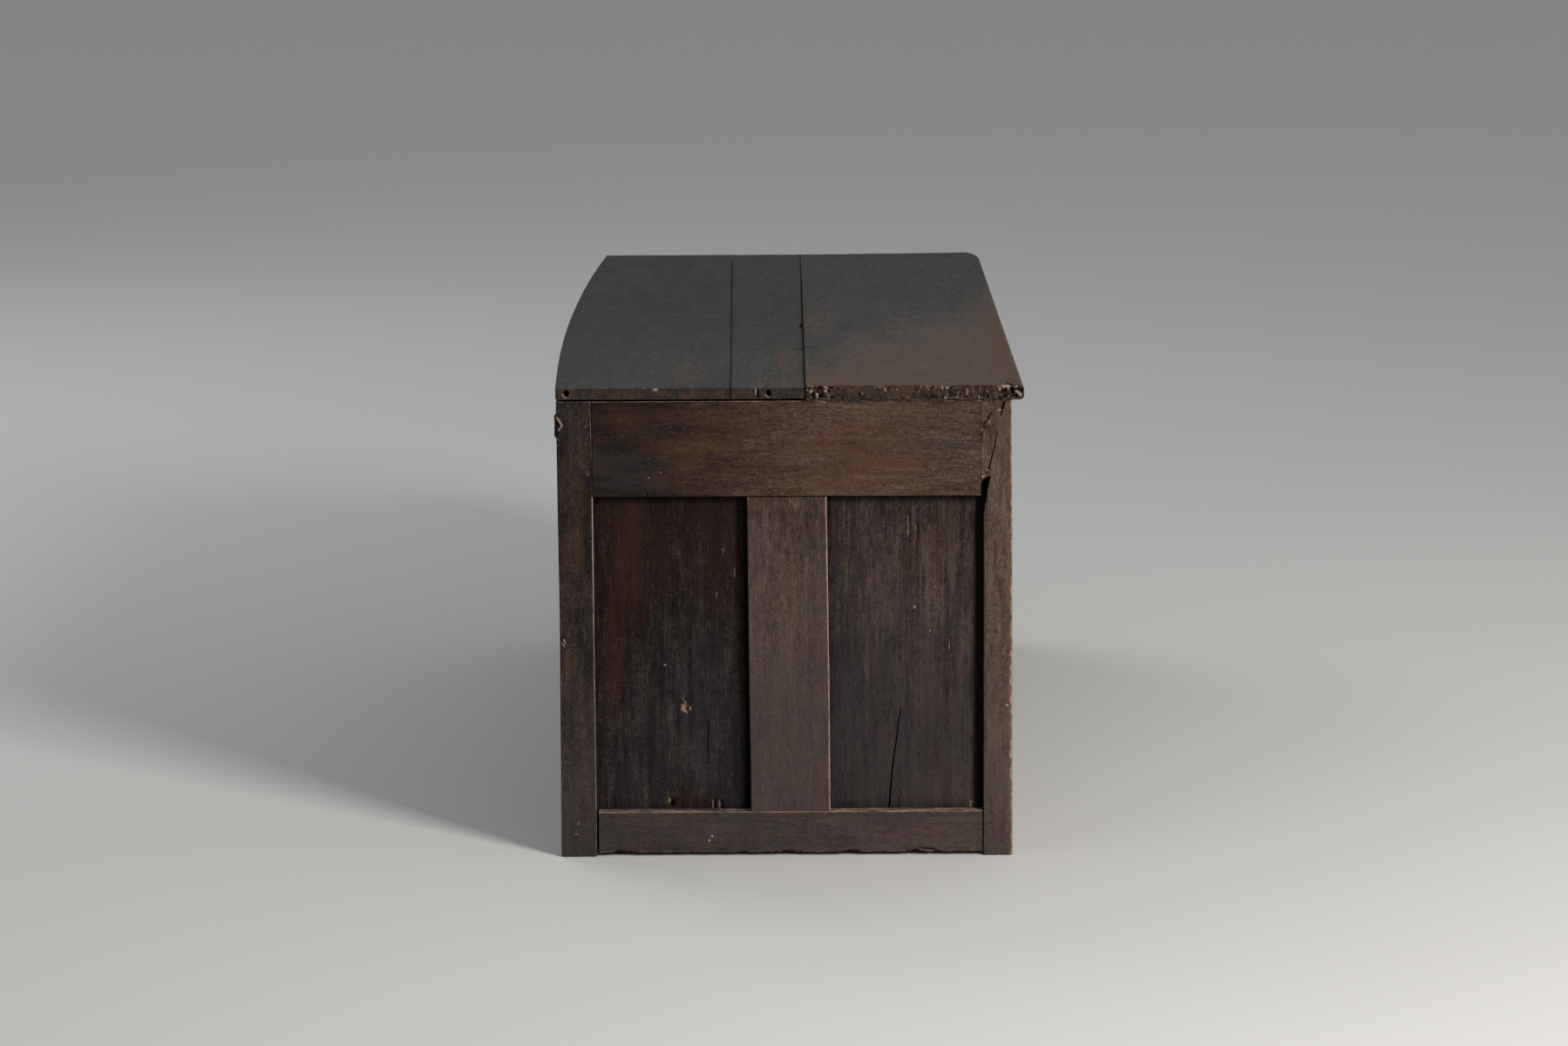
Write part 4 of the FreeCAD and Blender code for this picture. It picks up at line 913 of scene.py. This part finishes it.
def build_pegs(side):
    """Cleft pegs, trimmed by knife: each is six rims of twelve uneven points, drawn in from the
    full radius 6 mm inside the wood to a low dome at its face. The dome is cut askew, and its
    higher side is bruised."""
    axis, sign = PEG_SIDES[side]
    middles, face = peg_places(side)
    seed, corners = seed_of(side), 12
    rims = np.array([1, 1, 0.93, 0.72, 0.4, 0.02])               # shares of the radius
    rises = np.array([-6, -1, -0.35, -0.1, -0.04, -0.02])     # mm above the CAD peg's face
    turn = np.linspace(0, 2 * math.pi, corners, endpoint=False)
    others = [a for a in range(3) if a != axis]
    spin = sign if axis != Y else -sign    # every ring turns the same way, seen from outside
    places, timber, bruises = [], [], []
    for number, middle in enumerate(middles):
        cells = np.stack([np.full(corners, number), np.arange(corners), np.zeros(corners)], axis=1)
        radius = PEG_RADIUS * (0.9 + 0.1 * hashed(cells, seed))
        lean = hashed(np.array([[number, 7, 7], [number, 9, 9]]), seed) - 0.5
        ring = np.stack([np.cos(turn), spin * np.sin(turn)], axis=1) * radius[:, None]
        flat = rims[:, None, None] * ring
        askew = 0.22 * np.minimum(flat @ lean, 0) * (rises > -5)[:, None]
        grid = np.zeros((len(rims), corners, 3))
        grid[:, :, others] = middle + flat
        grid[:, :, axis] = face + sign * (rises[:, None] + askew)
        places.append(grid.reshape(-1, 3))
        high_side = np.cos(turn - math.atan2(lean[1] * spin, lean[0]))
        bruises.append((smooth(rims, 0.55, 0.85)[:, None] * smooth(high_side, 0.2, 0.8)).ravel())
        depth = np.repeat(rises, corners)[:, None]
        timber.append(np.concatenate([depth, flat.reshape(-1, 2) + 40 * lean], axis=1))
    ids = np.arange(len(rims) * corners).reshape(len(rims), corners)
    low, high = ids[:-1], ids[1:]
    wall = np.stack([low, np.roll(low, -1, 1), np.roll(high, -1, 1), high], axis=-1).reshape(-1, 4)
    fan = np.array([[0, a, a + 1, a + 2] for a in range(1, corners - 1, 2)])
    one_peg = np.concatenate([wall, fan[:, [0, 3, 2, 1]], fan + ids[-1][0]])
    faces = np.concatenate([one_peg + ids.size * number for number in range(len(middles))])
    wear = 0.15 + 0.85 * np.concatenate(bruises)
    finish = np.stack([np.full(len(wear), 0.05), np.zeros(len(wear)), wear], axis=1)
    grime = 0.9 * np.tile(np.repeat(rises < -0.6, corners), len(middles))
    dressed(f"{side}_pegs_cleft", f"{side}_pegs", "peg_oak", PEG_OAK, np.concatenate(places), faces,
            timber=np.concatenate(timber), finish=finish, grime=grime)


# ---- The lid ----

REAR_LOW, REAR_HIGH = room("lid_board_rear")
MIDDLE_LOW, MIDDLE_HIGH = room("lid_board_middle")
FRONT_LOW, FRONT_HIGH = room("lid_board_front")
REAR_BOW = 9          # the rear edge stands out this far at the middle
REAR_TAPER = 12.5     # and is this far in at the right end
SEAM_TAPER = 12       # the middle board is this much narrower at its left end
SEAM_GAP = 0.25
SCRATCH = ((-302.1, -8, 1.7), (-302.6, -30, 2.6), (-303.4, -54.4, 1.1))    # across the front seam


def lid_share(x):
    """0 at the lid's left end and 1 at its right end."""
    return (x - FRONT_LOW[X]) / (FRONT_HIGH[X] - FRONT_LOW[X])


def rear_line(x):
    """The lid's rear edge: a parabola through its two ends and the crown at the middle."""
    s = 2 * lid_share(x) - 1
    return REAR_FACE + REAR_BOW - 0.5 * REAR_TAPER * s - (REAR_BOW + 0.5 * REAR_TAPER) * s * s


def seam_line(x):
    """The seam behind the middle board, a straight line that runs back towards the right end."""
    return MIDDLE_HIGH[Y] - SEAM_TAPER * (1 - lid_share(x))


def fit_between(skin, near, far):
    """Moves the board's long edges in Y to near and far, and all between them in proportion."""
    share = skin.share(Y)
    skin.move[:, Y] += near * (1 - share) + far * share - skin.at[:, Y]


def lid_surface(skin, chips, chip_depth):
    """What the lid's boards share: chipped arrises, broad faint smears of wax and dust over the
    top, each as wide as a hand, and an underside that was never stained and is browner."""
    skin.bites(chips, chip_depth)
    skin.shade += 0.11 * noise(skin.at, (110, 64, 60), 65, 3) * skin.facing(UP)
    skin.shade += 0.24 * skin.facing(DOWN)
    skin.warmth += 0.55 * skin.facing(DOWN)
    skin.wear *= 1 - skin.facing(DOWN)


def sawn_ends(skin, depth):
    """The sawn ends of a board: fine upright ribs where the softer wood has gone, darker than the
    faces, and here and there a light crumb on the upper arris."""
    ribs = noise(skin.at, (6, 2.4, 9), skin.seed + 21, 3)
    crumbs = smooth(noise(skin.at, (3, 5, 3), skin.seed + 23, 2), 0.35, 0.6)
    for way in (LEFT, RIGHT):
        end = skin.facing(way)
        skin.lift -= depth * end * smooth(ribs, -0.3, 0.7)
        skin.darken_grime_and_shade(0.3 * end * smooth(ribs, 0.1, 0.7))
        skin.wear *= 1 - 0.7 * end
        skin.bare(0.9 * crumbs * skin.arris(way, UP, 2))
        skin.shade -= 0.2 * end
        skin.warmth += 0.34 * end


def cleat_holes(skin, y):
    """The empty hole of a lost cleat's peg in each end: all within its radius goes in 12 mm and is
    blackened with painted shade, and its lower lip is paler, a painted highlight."""
    radius, ramp, lip = 3.4, 0.4, 4.1
    z = (skin.low[Z] + skin.high[Z]) / 2
    for way in (LEFT, RIGHT):
        near = np.linalg.norm(skin.flat(way) - [y, z], axis=1)
        hole = smooth(near, radius + ramp, radius - ramp) * skin.facing(way)
        skin.lift -= 12 * hole
        # Blackened inside: painted shade.
        skin.darken_grime_and_shade(hole)
        below = skin.at[:, Z] < z
        # A paler lower lip: a painted highlight.
        skin.bare(0.9 * below * smooth(np.abs(near - lip), 0.8, 0.2) * skin.facing(way))


def worm_holes(skin, way, spacing, radius):
    """Round holes, one somewhere in each square of a grid: 1 within the radius of the nearest."""
    flat = skin.flat(way)
    cell = np.floor(flat / spacing)
    best = np.full(len(flat), np.inf)
    for shift in np.ndindex(3, 3):
        other = cell + np.array(shift) - 1
        key = np.concatenate([other + 500, np.full((len(flat), 1), 3)], axis=1)
        centre = (other + np.stack([hashed(key, 51), hashed(key, 52)], axis=1)) * spacing
        best = np.minimum(best, np.linalg.norm(flat - centre, axis=1) / (0.5 + hashed(key, 53)))
    return smooth(best, 1.25 * radius, 0.75 * radius)


# Bright bruises on the lid's eaten end: (y, mm above the board's underside, half width, half height).
# # The last two, at the front corner, are partly a painted highlight on the rounded nose.
END_BRUISES = (
    (-31, 12, 2, 4.5), (-37, 8, 3.2, 2.4), (-41.5, 13.5, 2, 1.6), (-46, 12, 1.4, 2.6),
    (-51.5, 7, 3, 1.4), (-66, 15.5, 2.6, 1.2), (-92, 8.5, 1.3, 2.2), (-107.5, 15.8, 1.2, 1),
    (-112, 15.8, 1.2, 1.2), (-119.5, 13, 1, 3.4), (-133.5, 13.5, 2.2, 1.6),
    (-147.5, 5, 1.6, 2), (-160, 11, 1, 3.6), (-172.5, 12.5, 1.2, 3.4),
    (-183.5, 5, 1.4, 1.6), (-194, 15.2, 2.8, 1.6), (-204.5, 14.8, 1.8, 1.2),
    (-218, 9.5, 1.1, 6.4), (-231, 5, 1.4, 1.4), (-242, 10.5, 1.4, 1.4),
    (-257, 13.5, 2.2, 3), (-262, 7, 2, 2.6), (-278.5, 10.5, 5, 5.6), (-280.5, 6, 3.4, 3.4))


def eaten_end(skin):
    """The left end of the front board, eaten by worm and the elements: it crumbles at both corners and
    is ribbed between them, with bright bruised edges, black pockets and a broken lower edge. Its
    lowest part is darkened with painted shade."""
    end, height = skin.facing(LEFT), skin.share(Z)
    from_front, from_seam = skin.depth(FRONT), skin.depth(REAR)
    ribbed = smooth(from_front, 30, 46) * smooth(from_front, 150, 120)
    ruin = 0.08 + smooth(from_seam, 40, 26) + smooth(from_front, 36, 24)
    ruin = np.clip(ruin + 0.15 * ribbed + 0.35 * smooth(height, 0.45, 0.15), 0, 1.2)

    ribs = noise(skin.at, (9, 2.6, 16), 41, 3)
    crumble = noise(skin.at, (6, 5, 4.5), 43, 4)
    fine = noise(skin.at, (3, 2.1, 2.1), 44, 1)
    holes = worm_holes(skin, LEFT, 9, 1.2) * smooth(noise(skin.at, 16, 45, 2), -0.1, 0.2)
    eaten = 0.3 + (0.6 + 1.2 * ribbed) * smooth(ribs, -0.4, 0.4) + 3.6 * ruin * smooth(crumble, -0.2, 0.4)
    eaten += (0.3 + 0.9 * ruin) * smooth(fine, -0.4, 0.4) + 4 * holes * np.minimum(ruin, 1)
    skin.lift -= end * eaten
    pits = np.maximum(0.9 * holes, np.clip(0.1 + 0.9 * ruin, 0, 0.95) * smooth(crumble, 0, 0.3))
    skin.darken_grime_and_shade(end * np.maximum(pits, 0.6 * ribbed * smooth(ribs, 0.05, 0.4)))
    crumbs = smooth(fine, 0.12, 0.4) * smooth(crumble, 0.1, -0.15)
    ridges = smooth(ribs, -0.15, -0.45) * ribbed
    skin.wear *= 1 - end
    skin.bare(end * np.clip(crumbs * (0.8 * ruin + 0.05) + 0.5 * ridges, 0, 1))

    rim_room = 0.75        # the ovals are drawn smaller, because their ragged rims reach past them
    for across, up, wide, tall in END_BRUISES:
        bruise = skin.spot(LEFT, (across, skin.low[Z] + up), (rim_room * wide, rim_room * tall))
        skin.lift += 0.8 * bruise
        skin.grime *= 1 - 0.8 * bruise
        skin.bare(1.25 * bruise * (0.75 + 0.6 * fine))
    skin.lift = np.minimum(skin.lift, 0)
    broken = smooth(noise(skin.at, (7, 8, 7), 47, 3), -0.15, 0.45)
    upper, lower = (broken * skin.arris(LEFT, way, 6) for way in (UP, DOWN))
    skin.lift -= (1.2 + 2.2 * ruin) * (upper + lower)
    skin.bare((0.3 + 0.6 * ruin) * smooth(upper, 0.05, 0.4))
    skin.lift -= 9 * smooth(from_seam, 9, 0) * smooth(height, 0.7, 0) * end
    # Painted shade along the lowest part of the end.
    skin.darken_grime_and_shade(0.85 * end * smooth(height, 0.16, 0))
    skin.shade -= 0.5 * end
    skin.warmth -= 0.12 * end
    top, left = skin.high[Z], skin.low[X]
    skin.crack(LEFT, 5, 0, (-266, top, 1), (-271.5, top - 7, 1.6), (-272.5, top - 13, 0.8))
    skin.crack(UP, 3, 0.4, (left, -273.5, 2), (left + 9, -269, 1.6), (left + 26, -264.5, 0.5))


def rear_work(skin):
    """The rear board is bowed behind and darker towards the right."""
    x = skin.at[:, X]
    lid_surface(skin, 0.03, 0.8)
    sawn_ends(skin, 0.8)
    cleat_holes(skin, REAR_HIGH[Y] - 14.2)
    skin.clouds(UP, (-490, 125, 110, 30, 0.03, 0.36))
    skin.flecks(LEFT, (164, skin.high[Z] - 1, 2.4, 1.6, 1.6))
    # Darker towards the right end: painted shade, the light falling off along the lid.
    skin.shade += 0.08 - 0.22 * smooth(x, -500, 100)
    fit_between(skin, seam_line(x) + SEAM_GAP, rear_line(x))


def middle_work(skin):
    """The middle board is tapered, and has a split in its left end, a knot in the front seam and a
    part of the scratch. Its lower front edge is worn away near the left end."""
    x, seam = skin.at[:, X], MIDDLE_LOW[Y]
    lid_surface(skin, 0.05, 0.9)
    sawn_ends(skin, 0.9)
    cleat_holes(skin, seam + 49.4)
    worn = smooth(skin.depth(FRONT), 30, 0) * skin.facing(DOWN) * smooth(x, -480, -600)
    skin.lift -= 2.5 * worn
    skin.clouds(UP, (-380, 0, 110, 22, 0.03, 0.42), (-580, 10, 50, 50, 0.06, 0.5))
    skin.crack(LEFT, 3, 0, (seam + 64, skin.high[Z], 0.9), (seam + 64.5, skin.low[Z], 1.7))
    skin.flecks(LEFT, (seam + 66.6, (skin.low[Z] + skin.high[Z]) / 2 + 1, 0.8, 6, 1.2))
    knot = skin.spot(UP, (-108, seam + 1), (22, 4))
    skin.lift -= 2 * knot
    skin.darken_grime_and_shade(knot)
    skin.crack(UP, 1.8, 0.3, *SCRATCH)
    # Darker towards the right end: painted shade, the light falling off along the lid.
    skin.shade += 0.1 - 0.22 * smooth(x, -500, 100)
    fit_between(skin, seam, seam_line(x))


def front_work(skin):
    """The front board is thick, with a rounded front edge and far corner, redder and paler where
    hands have been, twisted a little towards the right end, and eaten away at the left."""
    lid_surface(skin, 0.04, 0.9)
    eaten_end(skin)
    x, y, z = skin.at.T
    from_front = skin.depth(FRONT)
    # Hands have rubbed the board as far right as reach, which is further near the front.
    reach = np.interp(y, [-281, -267, -147, -123, -67, -26], [230, 90, -110, -170, -300, -440])
    reach += 160 * noise(skin.at, (90, 36, 60), 49, 3)
    handled = smooth(x, reach + 120, reach - 260) * (1 - skin.facing(DOWN))
    rim = smooth(from_front, 40, 0) * smooth(x, 300, -600) * skin.facing(UP)
    skin.warmth += 0.56 * handled + 0.6 * rim
    # The last term darkens towards the right end: painted shade, the light falling off along the lid.
    skin.shade += 0.08 + 0.28 * handled - 0.09 * smooth(x, -100, 500)

    nosing, flat_front = 7, 0.3        # the edge's depth, and the share of it left upright
    back = np.clip(from_front / nosing, 0, 1)
    squeeze = flat_front + (1 - flat_front) * np.sqrt(1 - (1 - back) ** 2)
    skin.move[:, Z] += (z - (FRONT_LOW[Z] + FRONT_HIGH[Z]) / 2) * (squeeze - 1)
    skin.bare(0.4 * smooth(from_front, 5, 0))
    twist = 2.5
    skin.move[:, Z] -= twist * smooth(x, 0, FRONT_HIGH[X]) * skin.share(Y) * skin.share(Z)

    # Towards its right end the front seam is shut.
    closed = (MIDDLE_LOW[Y] - FRONT_HIGH[Y] - 0.05) * smooth(x, 250, 480)
    skin.move[:, Y] += closed * smooth(skin.depth(REAR), 40, 0)
    corner_long, corner_deep = 45, 20
    far = np.clip(1 - skin.depth(RIGHT) / corner_long, 0, 1)
    inset = corner_deep * (1 - np.sqrt(1 - far**2))
    skin.move[:, Y] += inset * np.clip(1 - from_front / 60, 0, 1)
    skin.crack(UP, 1.8, 0.3, *SCRATCH)
    skin.crack(UP, 0.8, 0, (-154, -143, 1.2), (-155, -155, 0.8))
    skin.clouds(UP, (-81, -42, 110, 18, 0, 0.6), (-570, -60, 60, 60, 0.08, 0.4))


def build_lid_boards():
    """The three boards, with finer grids at their ends and where the scratches are."""
    ends = ((-605, -590, 1), (590, 605, 3))
    scratched = ends + ((-308, -297, 0.8), (-135, -85, 3))
    dashed = scratched + ((-158, -151, 1.2), (-590, -575, 2))
    rear_low = (REAR_LOW[X], MIDDLE_HIGH[Y] - 5, REAR_LOW[Z])
    rear_high = (REAR_HIGH[X], REAR_FACE + REAR_BOW, REAR_HIGH[Z])
    for name, low, high, step, rounding, fine, tone, work, butts in (
            ("rear", rear_low, rear_high, (10, 1.6, 1.2), 0.9, ends, (-0.02, -0.2), rear_work, (FRONT,)),
            ("middle", MIDDLE_LOW, MIDDLE_HIGH, (10, 1.2, 1.1), 0.9, scratched, (0, -0.2),
             middle_work, (FRONT, REAR)),
            ("front", FRONT_LOW, FRONT_HIGH, (16, 1, 0.9), 1.1, dashed, (0.03, -0.15), front_work,
             (REAR,))):
        board(f"lid_board_{name}", "lid_oak", LID_OAK, X, low, high, step, rounding, (fine, (), ()),
              tone, work, swell=0.5, comb=0.1, butts=butts)


def build_battens():
    """Battens under the boards, chamfered at both ends. Their tops step down at the front seam,
    because the front board is thicker."""
    step_down, seam = MIDDLE_LOW[Z] - FRONT_LOW[Z], FRONT_HIGH[Y]
    chamfer_high, chamfer_long = 9, 14

    def work(skin):
        skin.move[:, Z] -= step_down * skin.share(Z) * smooth(skin.at[:, Y], seam + 1, seam)
        tip = np.clip(1 - np.minimum(skin.depth(FRONT), skin.depth(REAR)) / chamfer_long, 0, 1)
        skin.move[:, Z] += chamfer_high * (1 - skin.share(Z)) * tip
        skin.bites(0.05, 1)

    for hand in ("left", "right"):
        board(f"lid_batten_{hand}", "lid_oak", LID_OAK, Y, step=(3, 4, 2), rounding=1.4,
              fine=((), ((seam - 2, seam + 3, 0.7),), ()), work=work, tone=(0.22, 0.5))


def dress_ironwork():
    """The hinges and nails keep their CAD shapes and take the iron."""
    for node, piece in frame["nodes"].items():
        if "hinge" in node or node.endswith("nails"):
            for slot in piece.material_slots:
                slot.material = IRON


# ---- Stage, light and camera ----

CAMERA_PLACE = (-5.562, 0.0023, 1.4014)
CAMERA_PITCH = 11.227    # degrees below level, looking along +X
CAMERA_ROLL = -0.244
CAMERA_LENS, CAMERA_SENSOR = 96.24, 36    # mm


def build_stage():
    """A pale plain floor, far larger than any view of the chest."""
    reach = 40
    mesh = bpy.data.meshes.new("floor")
    corners = [(-reach, -reach, 0), (reach, -reach, 0), (reach, reach, 0), (-reach, reach, 0)]
    mesh.from_pydata(corners, [], [(0, 1, 2, 3)])
    material, _, shader = blank("pale_floor")
    shader.inputs["Base Color"].default_value = linear("#cfcfcc")
    shader.inputs["Roughness"].default_value = 0.9
    shader.inputs["Specular IOR Level"].default_value = 0.1
    mesh.materials.append(material)
    floor = in_scene("floor", mesh)


def light(name, place, aim, size, power, colour):
    """A square soft lamp that points from place to aim."""
    lamp = bpy.data.lights.new(name, "AREA")
    lamp.shape = "SQUARE"
    lamp.size = size
    lamp.energy = power
    lamp.color = linear(colour)[:3]
    holder = in_scene(name, lamp)
    holder.location = place
    holder.rotation_euler = (Vector(aim) - Vector(place)).to_track_quat("-Z", "Y").to_euler()
    holder.visible_camera = False


def build_light():
    """A soft window-like key from the front's side and ahead of the left end, a broad weak lamp
    behind the right end, and an even pale surround that fills the shadows. Where the surround is
    seen, directly or in a reflection, it is a plain backdrop."""
    light("key", (-3.3, -2.7, 2.2), (-0.55, -0.05, 0.32), 1, 185, "#fffaf4")
    light("back fill", (2.6, 3, 3), (0.1, 0.1, 0.3), 2.6, 42, "#f6f9ff")
    world = bpy.data.worlds.new("studio")
    bpy.context.scene.world = world
    world.use_nodes = True
    tree = world.node_tree
    tree.nodes.clear()
    rays = add(tree, "ShaderNodeLightPath").outputs
    seen = rays["Is Camera Ray"]
    for kind in ("Is Glossy Ray", "Is Transmission Ray"):
        seen = add(tree, "ShaderNodeMath", {0: seen, 1: rays[kind]}, operation="MAXIMUM").outputs[0]
    fill = add(tree, "ShaderNodeBackground", {"Color": linear("#f4f6fa"), "Strength": 0.38})
    backdrop = add(tree, "ShaderNodeBackground", {"Color": linear("#d4d4d2"), "Strength": 1})
    mixed = add(tree, "ShaderNodeMixShader", {0: seen, 1: fill.outputs[0], 2: backdrop.outputs[0]})
    add(tree, "ShaderNodeOutputWorld", {"Surface": mixed.outputs[0]})


def build_camera():
    """A long lens well back from the left end, looking along the chest and a little down."""
    data = bpy.data.cameras.new("camera")
    data.sensor_fit = "HORIZONTAL"
    data.sensor_width = CAMERA_SENSOR
    data.lens = CAMERA_LENS
    camera = in_scene("camera", data)
    matrix = Matrix.Translation(CAMERA_PLACE)
    for angle, axis in ((-90, "Z"), (90 - CAMERA_PITCH, "X"), (CAMERA_ROLL, "Z")):
        matrix = matrix @ Matrix.Rotation(math.radians(angle), 4, axis)
    camera.matrix_world = matrix
    bpy.context.scene.camera = camera


build_camera()
build_stage()
build_light()
build_posts()
build_sides()
for side_name in PEG_SIDES:
    build_pegs(side_name)
build_floor_boards()
build_lid_boards()
build_battens()
dress_ironwork()
bpy.context.scene.view_settings.view_transform = "Standard"
